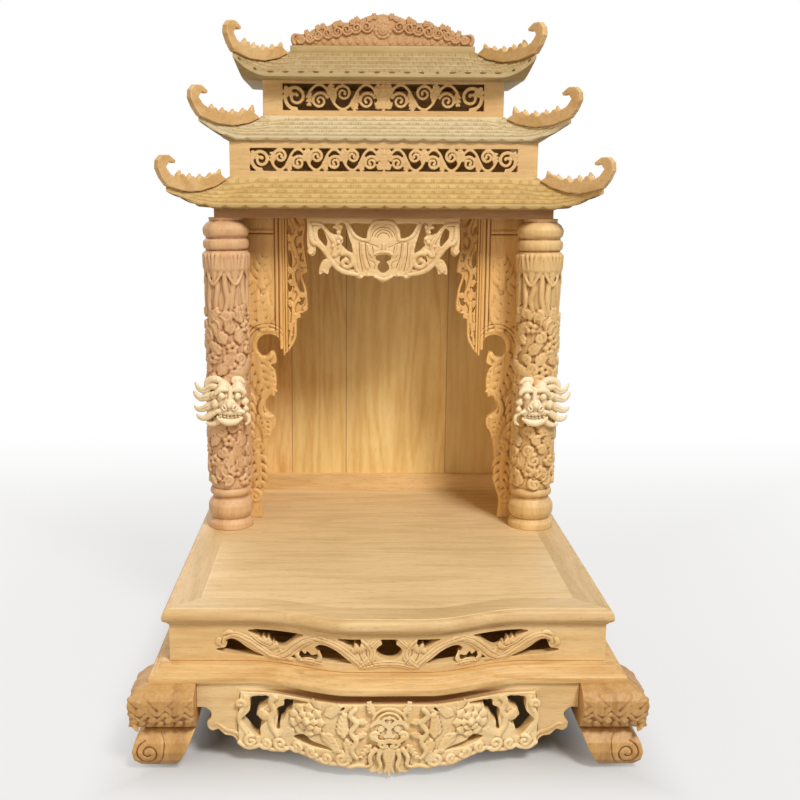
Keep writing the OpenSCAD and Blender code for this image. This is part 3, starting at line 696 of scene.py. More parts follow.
# painted light: the top's wood is lighter than the moulded edge of the same slab, making up for the top
# catching less lamp light than the front
top_wood_x = wood("top_wood_x", (0.82, 0.61, 0.34), (0.66, 0.47, 0.23), "x", figure=1.1, rough=0.46)
top_wood_y = wood("top_wood_y", (0.74, 0.53, 0.28), (0.59, 0.41, 0.19), "y", figure=0.8, rough=0.46)
top_edge = wood("top_edge_wood", (0.75, 0.54, 0.28), (0.60, 0.38, 0.16), "x", figure=1.3)
slab, n = moulding("moulded_top", 306, -278, 192,
                   [(8, 0), (7, 0.6), (6.8, 2), (5, 3.6), (2.6, 5), (0.8, 7), (0, 9.6), (0, 12), (0.5, 15),
                    (1.6, 17.6), (3.4, 19.6), (5.8, 20.9), (8.6, 21.2), (9.4, 22, 1), (46, 22, 44),
                    (46.6, 21.8, 44.6), (47.4, 21.8, 45.4), (48, 22, 46)])
finish_piece(slab, "table_top", "top_wood", 34, top_wood_x, top_wood_y, top_edge)
edge_rows, border_rows, side_runs = 12, 17, (n - 3, n - 1)
for polygon in slab.data.polygons:
    row, place = divmod(polygon.index, n)
    if row < edge_rows:
        polygon.material_index = 2
    elif row < border_rows and place in side_runs:
        polygon.material_index = 1


# ---------- shallow box ----------
# Serpentine front board and plain-ended side boards, pierced and carved with a wavy vine: flat
# acanthus bands with lobed tips and gouged veins, meeting at a vase-shaped opening.
def headings(line):
    """The way that a line runs at each of its points."""
    way = np.gradient(line, axis=0)
    return way / np.linalg.norm(way, axis=1)[:, None]


def veins(points, spread, width, depth):
    """Two gouged lines running along a band, one on each side of its middle."""
    line = np.array(points, float)
    way = headings(line)
    aside = np.stack([-way[:, 1], way[:, 0]], 1)
    return [([tuple(p) for p in line + aside * s], width, depth) for s in (-spread, spread)]


vine_holes = [[(167, 7), (180, 13), (193, 21), (205, 30), (215, 33), (222, 31), (219, 26), (222, 20),
               (229, 19), (234, 16), (215, 11), (191, 9)],
              [(115, 46), (123, 40), (133, 31), (143, 24), (152, 25), (156, 30), (159, 27), (162, 36),
               (166, 33), (170, 37), (173, 33), (176, 36), (191, 45), (155, 46)],
              [(46, 14), (60, 26), (74, 34), (90, 36), (98, 32), (97, 27), (92, 23), (98, 21), (104, 19),
               (109, 24), (112, 19), (118, 23), (121, 17), (127, 20), (134, 11), (83, 13)],
              [(32, 47), (69, 47), (62, 43), (48, 35), (46, 41), (39, 36), (33, 41)]]
vase = [(-11, 47), (11, 47), (9, 41), (16, 35), (17, 29), (12, 22), (0, 18), (-12, 22), (-17, 29),
        (-16, 35), (-9, 41)]
holes = both_sides(vine_holes) + [smooth_line(vase, 3, True)]
bands = [([(224, 27), (222, 34), (208, 38), (192, 31), (176, 20), (160, 10), (146, 8)],
          [3, 4, 5.5, 6, 5, 4]), ([(150, 8), (138, 15), (126, 27), (112, 38), (96, 44)], [5, 7, 7.5, 6, 4]),
         ([(104, 44), (84, 41), (68, 35), (54, 25), (40, 12)], [4, 5, 5.5, 6, 4]),
         ([(38, 9), (27, 17), (23, 28), (28, 38), (36, 46)], [5, 6, 5, 4, 3]),
         ([(30, 8), (16, 12), (0, 13)], [4, 4.5, 4]), ([(14, 46), (21, 40), (27, 34)], [2.5, 4, 4]),
         ([(120, 9), (106, 11), (90, 9)], [3, 5, 3]), ([(186, 38), (174, 28), (160, 22)], [2.5, 4, 3])]
tips = [[(229, 33), (231, 27), (228, 23)], [(174, 28), (168, 31), (169, 37)],
        [(166, 25), (161, 29), (162, 35)], [(159, 21), (152, 25), (152, 31)],
        [(117, 9), (123, 15), (124, 23)], [(98, 9), (92, 17), (94, 28)], [(48, 30), (43, 35), (44, 42)],
        [(40, 30), (36, 35), (37, 41)], [(208, 38), (216, 42), (224, 39)], [(84, 41), (88, 45), (96, 46)],
        [(132, 8), (142, 13), (146, 20)]]
half = strokes(-0.2, 0.34, *bands) + [stroke(tip, [2.8, 3.5, 1.5], -0.5, 0.5) for tip in tips]
cuts = []
for points, radii in bands:
    cuts += veins(points, 0.42 * max(radii), 0.9, 1.2)
cuts += [([(30, 9), (38, 22), (40, 32)], 0.9, 1.2), ([(34, 9), (46, 20)], 0.9, 1.0),
         ([(20, 10), (30, 26), (30, 34)], 0.9, 1.2)]
cuts, reach, level = mirrored_cuts(cuts), 297, 138
work = [plate([(-reach, 0.2), (reach, 0.2), (reach, 53.8), (-reach, 53.8)], holes, 0, 16)] + mirrored(half)
vine = carve("vine_front", work, 0.9, 0.42, cuts, serpentine(-269, level), rounds=1)
finish_piece(vine, "frieze_front", "golden_wood", 50, carved_x)
for side, word in sides:
    share = half_length("frieze_" + word) / reach
    vine = carve("vine_" + word, work, 1.15, 0.35, cuts, on_side("frieze_" + word, side, share, level),
                 rounds=1)
    finish_piece(vine, "frieze_" + word, "golden_wood", 50, carved_y)


# ---------- columns ----------
# Turned bases and capitals with a shaft carved all round: a ribbed dragon's body winds up
# through clouds and flame leaves, under drapery folds and a collar of hanging petals.
rose = wood("column_wood_left", (0.74, 0.48, 0.26), (0.58, 0.33, 0.16), "z", True, 0.6,
            seam_and_hollow_shade=(0.25, 0.09, 0.035))
gold = wood("column_wood_right", (0.77, 0.53, 0.25), (0.62, 0.39, 0.15), "z", True, 0.6,
            seam_and_hollow_shade=(0.24, 0.085, 0.025))
column_x, column_y, shaft, widest = 253, 103, 32, 38.6
table_z, ceiling_z = 214, 726
around = 2 * math.pi * shaft
for side, word, finish, slot in ((-1, "left", rose, "pinkish_wood"), (1, "right", gold, "golden_wood")):
    pick = random.Random(11 + side)
    work = []
    for path in ([(0, 462), (-26, 480), (-58, 492), (-92, 500), (-128, 512), (-160, 530), (-180, 552),
                  (-206, 570), (-236, 584)],
                 [(0, 402), (24, 384), (58, 372), (96, 366), (130, 352), (158, 332), (196, 318),
                  (222, 300)]):
        work.append(stroke(path, [11, 12, 11, 9, 6], -0.5, 0.5))
        line = smooth_line(path, 3)
        for p, w in zip(line, headings(line)):
            aside = np.array((-w[1], w[0]))
            work.append(stroke([p - aside * 9, p + w * 3.5, p + aside * 9], [1.0, 1.7, 1.0], -5, 0.8))
    for row, z in enumerate(range(298, 572, 17)):
        for k in range(8):
            u = (k + 0.5 * (row % 2)) * around / 8 + pick.uniform(-4, 4)
            size, hand = pick.uniform(7.5, 10.5), pick.choice((-1, 1))
            kind = pick.random()
            if kind < 0.42:
                work += curl(u, z + pick.uniform(-4, 4), size, pick.uniform(0, 360), hand * 1.3, 3.6, 2.4,
                             -2.4, 1.0)
            elif kind < 0.8:
                work += leaf(u, z - 9, pick.uniform(50, 130), 25, 20, hand * 30, -2.0, 0.9, 4)
            else:
                work += [bead(u + 6 * math.cos(a), z + 6 * math.sin(a), 4.6, -1.8, 0.9)
                         for a in (0.4, 1.7, 3.0, 4.2, 5.4)]
    for k in range(14):
        u = k * around / 14
        work.append(stroke([(u, 644), (u + pick.uniform(-3, 3), 618), (u + pick.uniform(-7, 7), 594),
                            (u + pick.uniform(-10, 10), 572)], [2.8, 4.2, 4.2, 2.0],
                           pick.uniform(-1.2, 0.2), 0.8))
    for k in range(6):
        u = (k + 0.5) * around / 6
        work += [stroke([(u + a, 669), (u + b, 646)], [1.9, 1.2], -5.2, 0.8)
                 for a, b in ((0, 0), (-7, -4), (7, 4), (-15, -13), (15, 13))]
        work.append(stroke([(u, 670), (u, 650), (u, 620)], [5, 7.4, 1.2], -2.6, 0.34))
        work += [stroke([(u + s * 8, 670), (u + s * 12, 655), (u + s * 7, 633)], [4, 4.4, 1.2], -2.4, 0.5)
                 for s in (-1, 1)]
        work.append(stroke([(u - 15, 648), (u - 10, 634), (u, 621), (u + 10, 634), (u + 15, 648)],
                           [1.8, 2, 2.4, 2, 1.8], -3.4))
    parts, axis_x = [of_node("column_" + word)], side * column_x
    for v, f in work:
        angle, radius = v[:, 0] / shaft * side, shaft - v[:, 1]
        parts.append((np.stack([axis_x + radius * np.sin(angle), column_y - radius * np.cos(angle),
                                v[:, 2]], 1), f))
    column = carve("carved_column_" + word, parts, 1.2, 0.45, inside=(
        (axis_x - widest, column_y - widest, table_z), (axis_x + widest, column_y + widest, ceiling_z)))
    finish_piece(column, "column_" + word, slot, 60, finish)


# ---------- dragon heads ----------
# A pale head on the front of each column: heavy brows over round eyes, a broad snout with
# nostrils over a toothed jaw, and fat curved horns and whiskers sweeping to the outer side.
cream_wood = wood("cream_wood", (0.96, 0.82, 0.58), (0.83, 0.63, 0.37), "z", True, 0.4,
                  seam_and_hollow_shade=(0.35, 0.16, 0.06))
# skull, brows and eyes
head = [bead(-2, 4, 25, -34, 0.55), bead(-6, -16, 20, -38, 0.5)]
head += beads(-43, 0.7, (-20, 25, 11), (3, 27, 11))
head += strokes(-49, 0.9, ([(-32, 16), (-26, 23), (-12, 22)], [3.4, 5, 3]),
                ([(-4, 22), (8, 23), (17, 15)], [3, 5, 3.2]))
head += beads(-49, 0.9, (-20, 12, 5.6), (6, 12, 5.6))
# snout, nostrils, lip, teeth and jaw
head += [bead(-7, -3, 12, -48, 0.75), *beads(-54, 0.8, (-15, -6, 6), (1, -6, 6)), bead(-7, -1, 6, -57)]
head += strokes(-50, 0.9, ([(-8, 26), (-8, 14), (-8, 4)], [3, 3.6, 4.4]),
                ([(-30, -14), (-20, -12), (-7, -15), (6, -12), (16, -14)], [3.4, 4, 4.6, 4, 3.4]),
                *(([(x, -16), (x, -22)], [2.6, 1.5]) for x in (-22, -16, -10, -4, 2, 8)))
head += [stroke([(-26, -24), (-16, -30), (-4, -32), (8, -28), (14, -22)], [3, 5, 6, 5, 3], -46, 0.8)]
# cheeks, then horns, whiskers and beard
head += [bead(18, -2, 8, -42, 0.7), bead(-30, 2, 7, -40, 0.7), bead(20, 12, 7, -42, 0.7),
         bead(-32, -10, 5, -42)]
for path, radii in (([(4, 32), (16, 38), (28, 35), (33, 27), (28, 22)], [5, 6, 5.4, 4, 2.4]),
                    ([(14, 24), (26, 26), (36, 18), (46, 20), (52, 29)], [5.5, 6.5, 6, 5, 2.4]),
                    ([(18, 12), (30, 8), (42, 4), (51, 8), (55, 15)], [6, 6.6, 5.6, 4.6, 2.2]),
                    ([(18, 0), (30, -8), (42, -14), (50, -14), (55, -10)], [6, 6.4, 5.4, 4.2, 2]),
                    ([(14, -12), (24, -20), (36, -28), (46, -28), (51, -24)], [5.6, 6, 5.2, 4.2, 2]),
                    ([(8, -24), (14, -32), (24, -37), (34, -36)], [5, 5.2, 4.4, 2.2]),
                    ([(-12, 32), (-14, 38), (-24, 38), (-30, 32)], [4, 4.8, 4, 2]),
                    ([(-28, -16), (-35, -22), (-36, -32), (-30, -37)], [3.4, 3.8, 3.2, 1.8]),
                    ([(-14, -32), (-14, -38)], [4, 2.4]), ([(-2, -33), (2, -38)], [4, 2.4])):
    head.append(stroke(path, radii, -36 if path[0][0] > 8 else -38, 0.85))
head_cuts = [([(-15, -7), (-17, -4)], 2.2, 4.0), ([(1, -7), (3, -4)], 2.2, 4.0),
             ([(-26, -19), (-7, -21), (12, -18)], 1.6, 2.6), ([(-8, 36), (-8, 28)], 1.4, 2.4),
             ([(26, 25), (36, 18), (45, 20)], 0.9, 1.4), ([(30, 8), (42, 4)], 0.9, 1.4),
             ([(30, -8), (42, -14)], 0.9, 1.4)]
head_z = 432
for side, word in sides:
    def seat(v, side=side):
        """Lays the mane back round the shaft as it sweeps outward, and seats the head on its column."""
        laid_back = v.copy()
        laid_back[:, 1] += np.clip(v[:, 0] - 10, 0, 60) ** 2 * 0.009
        return laid_back * np.array([side, 1, 1]) + np.array([side * column_x, column_y, head_z])

    piece = carve("carved_head_" + word, head, 0.95, 0.6, head_cuts, seat)
    finish_piece(piece, "dragon_head_" + word, "cream_wood", 60, cream_wood)


# ---------- back and side boards ----------
# Plain planed boards kept from the CAD model, with upright grain; the back is jointed from
# four boards that differ a little in tone, with a reddish glue line at each joint.
back_wood = wood("back_board_wood", (0.97, 0.71, 0.32), (0.74, 0.40, 0.11), "z", figure=1.5,
                 seam_and_hollow_shade=(0.34, 0.12, 0.05), joints=((-161, 0.25), (-60, -0.1), (127, -0.45)))
# The ceiling's dark red-brown wood is painted shade: the band under the lowest eave is darkened in its
# colour.
ceiling_painted_shade = wood("ceiling_painted_shade", (0.42, 0.22, 0.08), (0.30, 0.14, 0.045), "x")
for material, names in ((back_wood, ["back_panel"]), (ceiling_painted_shade, ["ceiling"]),
                        (board_z,
                         ["side_panel_left", "side_panel_right", "leg_back_left", "leg_back_right"]),
                        (board_x, ["back_rail", "apron_back", "frieze_back", "storey_lower_back",
                                   "storey_upper_back"])):
    for name in names:
        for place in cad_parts[name].material_slots:
            place.material = material


# ---------- wings ----------
# Boards beside the opening, carved in low relief with acanthus: a double moulding down the
# inner edge, a round notch with a hooked scroll, and a leafy stem that narrows to the floor.
def moved(x, y, z, side=1):
    """A bend that only mirrors the work for its side and moves it to its place."""
    return lambda v: v * np.array([side, 1, 1]) + np.array([x, y, z])


stem = [(203, 214), (205, 244), (199, 266), (193, 284), (198, 300), (195, 322), (192, 346), (187, 364),
        (180, 376), (179, 390), (189, 399), (196, 407), (194, 420), (185, 432), (178, 440), (177, 458),
        (180, 472), (186, 480), (177, 485), (177, 494), (180, 503), (186, 504), (192, 497), (202, 497),
        (208, 506), (209, 516), (203, 528), (191, 533), (177, 530), (169, 520), (165, 506)]
outer_x, seam_x, relief_front, board_rear = 248, 165, 138.5, 153
board = plate([(outer_x, table_z)] + list(smooth_line(stem, 4))
              + [(seam_x, ceiling_z), (outer_x, ceiling_z)], [], 0, 12)
work = strokes(0, 0.6, ([(168, 724), (168, 508)], 2.2), ([(174.5, 724), (174.5, 536)], 2.6),
               ([(180, 703), (outer_x, 703)], 2.4))
work += leaves(-0.3, 0.42, (196, 541, 70, 58, 56, 30, 4, 0.8), (226, 552, 100, 74, 60, -24, 5, 0.8))
work += leaf(200, 610, 84, 50, 44, 24, -0.2, 0.36, 4, 0.8)
work += [stroke([(209, 498), (214, 512), (210, 528), (196, 539), (178, 538)], [3, 3.4, 3.2, 2.6], 0, 0.5),
         stroke([(206, 491), (196, 489), (187, 494), (184, 500)], [3.6, 4, 3.2, 2], -0.5, 0.6)]
work += leaf(212, 500, 262, 76, 52, -16, -0.3, 0.42, 5, 0.8)
work += leaf(190, 482, 262, 52, 18, -10, -0.4, 0.5, 5)
work += [stroke([(184, 440), (194, 428), (203, 414), (204, 400), (196, 392), (186, 391)],
                [3.4, 4.2, 4.6, 4, 2.6], -0.6, 0.6)]
work += leaf(204, 400, 250, 44, 30, 16, -0.3, 0.5, 5, 0.7)
work += leaf(232, 440, 266, 84, 44, 0, -0.3, 0.42, 5, 0.8) + curl(208, 340, 11, 100, -1.3, 4, 2.6, 0, 0.5)
work += leaves(-0.3, 0.42, (212, 330, 262, 62, 42, 8, 4, 0.8), (236, 352, 268, 70, 34, 0, 4, 0.8))
work += curl(216, 252, 11, 80, 1.3, 4, 2.6, 0, 0.5) + leaf(228, 270, 275, 44, 26, 0, 0, 0.34, 4)
cuts = [([(171.4, 724), (171.4, 512)], 1.3, 2.0), ([(178, 724), (178, 538)], 1.2, 1.8),
        ([(179, 699), (outer_x, 699)], 1.4, 2.0)]
cuts += [([polar(192, 514, r, a) for a in np.linspace(0.2, 2.6, 9)], 1.1, 1.6) for r in (31, 37)]
for side, word in sides:
    wing = carve("carved_wing_" + word, [board] + work, 1.15, 0.42, cuts, moved(0, 141, 0, side), rounds=1,
                 inside=((-outer_x, relief_front, table_z), (outer_x, board_rear, ceiling_z)))
    finish_piece(wing, "wing_" + word, "golden_wood", 50, carved_z)


# ---------- pendants ----------
# A pierced pendant hangs at the inner edge of each wing: twin rails outside, a scalloped edge
# inside, and a leafy vine winding down between them to the tip.
inner_edge = [(127, 722), (126, 712), (129, 690), (126, 662), (123, 640), (131, 634), (130, 624),
              (125, 606), (123, 584), (126, 572), (136, 569), (141, 562), (142, 547), (143, 528),
              (151, 511), (160, 501)]
openings = [((136, 706), 4.4, 11, 2), ((152.5, 698), 4, 15, 4), ((136, 671), 5, 14, -3),
            ((152.5, 658), 4, 15, 3), ((134, 613), 5, 13, 3), ((152.5, 618), 4, 15, -3),
            ((134, 589), 4.6, 8, -3), ((151.5, 582), 4, 13, 3), ((148, 550), 3.6, 10, -2),
            ((154, 526), 2.8, 11, 2)]
holes = [[(cx + rx * math.cos(a) + lean * 0.4 * math.sin(a), cz + rz * math.sin(a))
          for a in np.arange(14) * 2 * math.pi / 14] for (cx, cz), rx, rz, lean in openings]
tip_z = 496
board = plate([(seam_x, ceiling_z), (127, ceiling_z)] + list(smooth_line(inner_edge, 4))
              + [(seam_x, tip_z)], holes, 1.5, 12)
work = [stroke([(163, 725), (163, 498)], 1.9, 1.2, 0.8), stroke([(159, 725), (159, 503)], 1.9, 0.9, 0.8),
        stroke([(x + 2.4, z) for x, z in inner_edge], 2, 0.8, 0.8)]
vine_line = [(148, 724), (141, 706), (148, 688), (143, 670), (138, 652), (147, 636), (144, 616), (138, 598),
             (147, 580), (148, 562), (151, 540), (155, 516)]
work += [stroke(vine_line, [3.4, 3.6, 3.4, 3.2, 3, 2.2], 0.2, 0.8)]
for (x, z), heading in zip(vine_line[1:-1], (150, 40, 160, 200, 30, 20, 170, 40, 160, 60)):
    work += leaf(x, z, heading, 13, 12, 30, -0.2, 0.6, 3) + [bead(x, z - 8, 3, -0.6)]
work += beads(0.5, 0.7, (127, 640, 5), (128, 576, 5), (145, 566, 4))
cuts = [([(161, 725), (161, 500)], 0.9, 1.8), ([(156.6, 725), (156.6, 505)], 0.9, 1.8)]
for side, word in sides:
    drop = carve("pendant_" + word, [board] + work, 0.8, 0.42, cuts, moved(0, 140.5, 0, side), rounds=1,
                 inside=((-seam_x, relief_front, tip_z), (seam_x, board_rear, ceiling_z)))
    finish_piece(drop, "drop_" + word, "golden_wood", 50, carved_z)


# ---------- valance ----------
# The pale pierced valance: a rail, an arch with nested rings, a pleated bell-shaped body with
# a keyhole, and S-scrolls with lobed fronds running out to a ball at each end.
outline = [(122, 0), (122, -34), (121, -50), (116, -60), (110, -58), (108, -50), (109, -42), (103, -46),
           (97, -56), (90, -65), (98, -68), (103, -80), (102, -90), (96, -86), (89, -89), (86, -80),
           (80, -76), (72, -84), (60, -90), (46, -92), (37, -97), (31, -92), (24, -93), (14, -92), (8, -99),
           (0, -102)]
holes = [[(53, -9), (20, -9), (17, -9), (26, -20), (27, -33), (36, -31), (45, -26)],
         [(62, -9), (70, -9), (67, -18), (69, -28), (64, -36), (67, -42), (60, -49), (51, -56), (50, -46),
          (56, -28)],
         [(76, -9), (98, -9), (93, -14), (86, -22), (77, -26), (70, -24), (74, -18), (82, -15)],
         [(105, -20), (98, -16), (94, -24), (90, -36), (92, -45), (98, -39), (104, -31)],
         [(46, -80), (54, -81), (64, -76), (70, -68), (68, -60), (62, -61), (63, -68), (56, -72), (50, -68),
          (47, -70)]]
keyhole = [(-12, -60), (0, -57), (12, -60), (11, -66), (5, -69), (9, -75), (8, -82), (0, -87), (-8, -82),
           (-9, -75), (-5, -69), (-11, -66)]
lower_edge = outline[1:] + flipped(outline[1:-1][::-1])
valance_half = outline[0][0]
board = plate([(valance_half, 0)] + list(smooth_line(lower_edge, 3)) + [(-valance_half, 0)],
              both_sides(holes) + [smooth_line(keyhole, 3, True)], 0, 12)
half = [stroke([(0, -5), (14, -7), (22, -18), (25, -34)], [2.6, 2.8, 3, 3], -0.6, 0.6)]
half += strokes(-0.4, 0.6, ([(25, -35), (36, -33), (47, -26), (57, -8)], [3, 2.8, 2.8, 2.2]),
                ([(49, -42), (45, -60), (45, -76), (38, -88)], [2.6, 3, 3, 2]))
half += strokes(-0.6, 0.7, ([(34, -40), (32, -60), (26, -80)], [1.8, 2.2, 1.4]),
                ([(24, -42), (22, -54), (16, -62)], [1.8, 2, 1.4]))
half += strokes(-0.5, 0.6, ([(118, -8), (114, -36), (104, -42), (92, -54), (82, -70), (66, -84), (40, -90)],
                            [3.4, 4, 4, 4, 4, 4, 2.6]),
                ([(114, -9), (100, -11), (87, -26), (78, -42), (80, -60)], [2.4, 3, 3.4, 3.4, 3]))
half += curl(60, -69, 15, 60, 1.05, 4.4, 2.8, -0.8, 0.6) + [bead(116, -52, 6.5, -0.8)]
half += [stroke([(64, -52), (72, -54), (78, -60)], [4, 4, 3.4], -0.5, 0.6)]
half += beads(0, 0.8, (68, -14, 3.4), (72, -22, 3.8), (68, -32, 4), (72, -38, 4), (80, -44, 4))
half += leaf(86, -66, -50, 22, 18, -20, -0.4, 0.6, 4) + beads(-0.4, 0.8, (36, -93, 3.4), (24, -90, 3))
mask = [stroke([(0, -52), (0, -40)], [1.6, 2.2], -0.8, 0.7),
        stroke([(-14, -92), (0, -97), (14, -92)], [2.6, 3.4, 2.6], -0.6, 0.7),
        stroke([(-15, -58), (-9, -54), (0, -53), (9, -54), (15, -58)], [1.6, 2, 2.2, 2, 1.6], -0.8, 0.7)]
cuts = [([polar(0, -33, r, a) for a in np.linspace(0.25, math.pi - 0.25, 10)], 0.9, 1.6)
        for r in (10, 14.5, 19)]
cuts += mirrored_cuts([([(29, -40), (27, -60), (21, -78)], 1.1, 1.6),
                       ([(39, -38), (38, -60), (33, -84)], 1.1, 1.6), ([(18, -44), (16, -54)], 1.0, 1.4),
                       ([(112, -12), (96, -14), (84, -30), (76, -46)], 0.8, 1.2),
                       ([(24, -66), (14, -71), (14, -80)], 0.9, 1.3),
                       ([(8, -46), (20, -41), (32, -36)], 0.9, 1.3),
                       ([(115, -30), (104, -40), (92, -52), (80, -68)], 0.8, 1.2)])
pale_wood = wood("pale_carved_wood", (0.85, 0.64, 0.36), (0.70, 0.46, 0.20), "x", True, 0.5,
                 seam_and_hollow_shade=(0.30, 0.11, 0.035))
valance = carve("carved_valance", [board] + mask + mirrored(half), 0.85, 0.42, cuts,
                moved(0, 90, ceiling_z), rounds=1,
                inside=((-valance_half, 86, 622), (valance_half, 103, ceiling_z)))
finish_piece(valance, "valance", "pale_wood", 50, pale_wood)


# ---------- roofs ----------
# Three hipped roofs with upswept corners. Each slope is cut into overlapping courses of small
# tiles with staggered joints, over a scalloped eave (small square notches on the top one).
def tile_wood(name, light, dark):
    f = Finish(bpy.data.materials.new(name))
    place = f.node("TexCoord", output=3)
    tile, hollow = f.stored("tile"), f.stored("hollow")
    fibre, drift = f.noise(f.stretched(place, (9, 60, 60)), 2.4, 4.0), f.noise(place, 7.0, 3.0)
    share = tile * 0.5 + fibre.kept(0.35, 0.68) * 0.4 + drift.kept(0.4, 0.7) * 0.25 - 0.05
    # painted shade: darker brown in the hollows of the tiled skin, at the joints and under each course
    colour = f.blend(hollow.kept(0.05, 0.7) * 0.5, f.blend(share, light, dark), (0.30, 0.17, 0.05))
    return f.material(colour, fibre * 0.2 + 0.48, 0.25, fibre)


whole_box = ((-348, -340, 0), (348, 340, 1058))


def roof(name, foot, head, eave, level, corner, tile, closed):
    """A roof skin drawn as stations along the eave, each with a row of points up the slope.

    foot and head are half width, front and level; eave is half width and front; corner is how
    far it rises and reaches out, and where that starts; tile is the width of one. The top roof
    is closed at the rear and has notches in its eave in place of scallops.
    """
    rise, reach, start = corner
    wide, half = eave[0] + reach, tile / 2
    rear = back_line - (eave[1] - reach)
    head_rear, foot_rear = (head[1] + 16, 339) if closed else (back_line, back_line)
    parts = (0, 0.06, 0.25, 0.44, 0.5, 0.56, 0.75, 0.94)
    if closed:
        parts = (0, 0.06, 0.17, 0.19, 0.44, 0.5, 0.56, 0.81, 0.83, 0.94)

    def stops(length):
        """Places along a run, close together at the joints of half tiles and of whole ones."""
        places = [half * (k + part) for k in range(int(length / half) + 1) for part in parts]
        return [p for p in places if p < length - 0.6] + [length]

    side_from, rear_from = 60, 120
    side_run = [(1, back_line - back, side_from + back / half) for back in reversed(stops(rear)[:-1])]
    front_run = [(0, x, x / half) for x in stops(wide)]
    stations = [(-kind, t, u) for kind, t, u in reversed(side_run)]
    stations += [(0, -t, u) for kind, t, u in reversed(front_run[1:])]
    stations += front_run + side_run
    if closed:
        stations += [(2, eave[0] - x, rear_from + x / half) for x in stops(2 * eave[0])[1:-1]]
    # kind: 0 at the front, -1 and 1 at the sides, 2 at the rear; run counts half tiles
    kind, run_at, run = np.array(stations).T

    def by_kind(front, side, behind):
        return np.where(kind == 0, front, np.where(kind == 2, behind, side))

    def place_at(v):
        """At share v up the slope: x, y, share of the side, corner share and unclipped share."""
        w, w_rear = wide * (1 - v) + head[0] * v, eave[0] * (1 - v) + head[0] * v
        front_y, rear_y = (eave[1] - reach) * (1 - v) + head[1] * v, back_line * (1 - v) + head_rear * v
        raw = by_kind(run_at / w, (rear_y - run_at) / (rear_y - front_y), run_at / w_rear)
        share = np.clip(raw, by_kind(-1, 0, -1), 1)
        out = by_kind(np.abs(share) * wide - eave[0], share * rear - back_line + eave[1], -1e3)
        k = np.clip((out + start) / (reach + start), 0, 1) ** 2
        x = by_kind(share * w, kind * ((eave[0] + reach * k) * (1 - v) + head[0] * v), share * w_rear)
        y = by_kind((eave[1] - reach * k) * (1 - v) + head[1] * v, rear_y - share * (rear_y - front_y),
                    rear_y)
        return x, y, share, k, raw

    x, y, share, k, _ = place_at(0)
    out_x, out_y = by_kind(0.0, kind, 0.0), by_kind(-1.0, 0 * kind, 1.0)
    foot_x = by_kind(share * foot[0], kind * foot[0], share * foot[0])
    foot_y = by_kind(foot[1], foot_rear + share * (foot[1] - foot_rear), foot_rear)
    rows = [np.stack([foot_x, foot_y, np.full(len(run), foot[2])], 1)]
    low, plain = level + 2 + rise * k, np.zeros(len(run))
    scallop = plain if closed else (1 - np.abs(np.sin(math.pi * run / 2))) ** 2 * 3.6
    notch_share, notch_depth = 0.095, 2.6
    notch = np.where(np.abs((run / 2 % 1) - 0.5) < notch_share, notch_depth, 0) if closed else plain
    # the eave's edge, from its scalloped or notched foot up to the first course
    for height, back in ((scallop, 0.6), (scallop + 1, 0), (5, 0), (6.4, notch), (7.4, notch)):
        rows.append(np.stack([x - out_x * back, y - out_y * back, low + height], 1))
    tones, courses, steps, tile_shades, nearly = [plain] * 6, 5, 6, 400, 1e-6
    lip, groove, groove_depth, near_hip = 0.93, 0.055 * half, 0.8, 0.985
    shades = np.random.default_rng(5).random((courses + 1, tile_shades))
    slope = np.concatenate([np.linspace(c, c + lip, steps) for c in range(courses)] + [[courses]]) / courses
    for v in slope:
        course = min(int(v * courses + nearly), courses - 1)
        part = v * courses - course
        along = run + 0.5 * (course % 2)
        joint = np.minimum(along % 1, 1 - along % 1) * half
        x, y, _, k, raw = place_at(v)
        past_hip = (np.abs(raw) > near_hip) & (kind != 2)
        # each course lifts at its lower edge, and sinks into a groove at the joints
        joint_share = np.clip(1 - joint / groove, 0, 1) * (part < 0.9)
        lift = 1.6 * (1 - part) - groove_depth * joint_share - 0.8
        lift = np.where(past_hip, 0.9, lift) * (v < 1)
        sag = (2 + 13 * np.sqrt(k)) * 4 * v * (1 - v)
        z = (level + 10 + rise * k) * (1 - v) + head[2] * v - sag
        rows.append(np.stack([x + out_x * lift * 0.3 * ~past_hip, y + out_y * lift * 0.3 * ~past_hip,
                              z + lift], 1))
        tones.append(shades[course, np.floor(along + nearly).astype(int) % tile_shades])
    verts = np.stack(rows, 1)
    m, n = verts.shape[:2]
    faces = [(i * n + j, ((i + 1) % m) * n + j, ((i + 1) % m) * n + (j + 1) % n, i * n + (j + 1) % n)
             for i in range(m if closed else m - 1) for j in range(n)]
    if not closed:
        faces += [tuple(range(n)), tuple(reversed(range((m - 1) * n, m * n)))]
    piece = build(name, np.clip(verts.reshape(-1, 3), *whole_box), faces)
    mark(piece.data, "tile", np.stack(tones, 1).ravel())
    edit_all(lambda: bpy.ops.mesh.remove_doubles(threshold=0.00002),
             lambda: bpy.ops.mesh.dissolve_degenerate(threshold=0.00001))
    turn_out()
    mark_hollows(piece.data, rounds=2, full=0.0005)
    return piece


straw = tile_wood("straw_tiles", (0.68, 0.58, 0.37), (0.54, 0.44, 0.25))
straw_low = tile_wood("straw_tiles_low", (0.64, 0.455, 0.185), (0.47, 0.30, 0.10))
straw_top = tile_wood("straw_tiles_top", (0.49, 0.37, 0.18), (0.35, 0.245, 0.10))
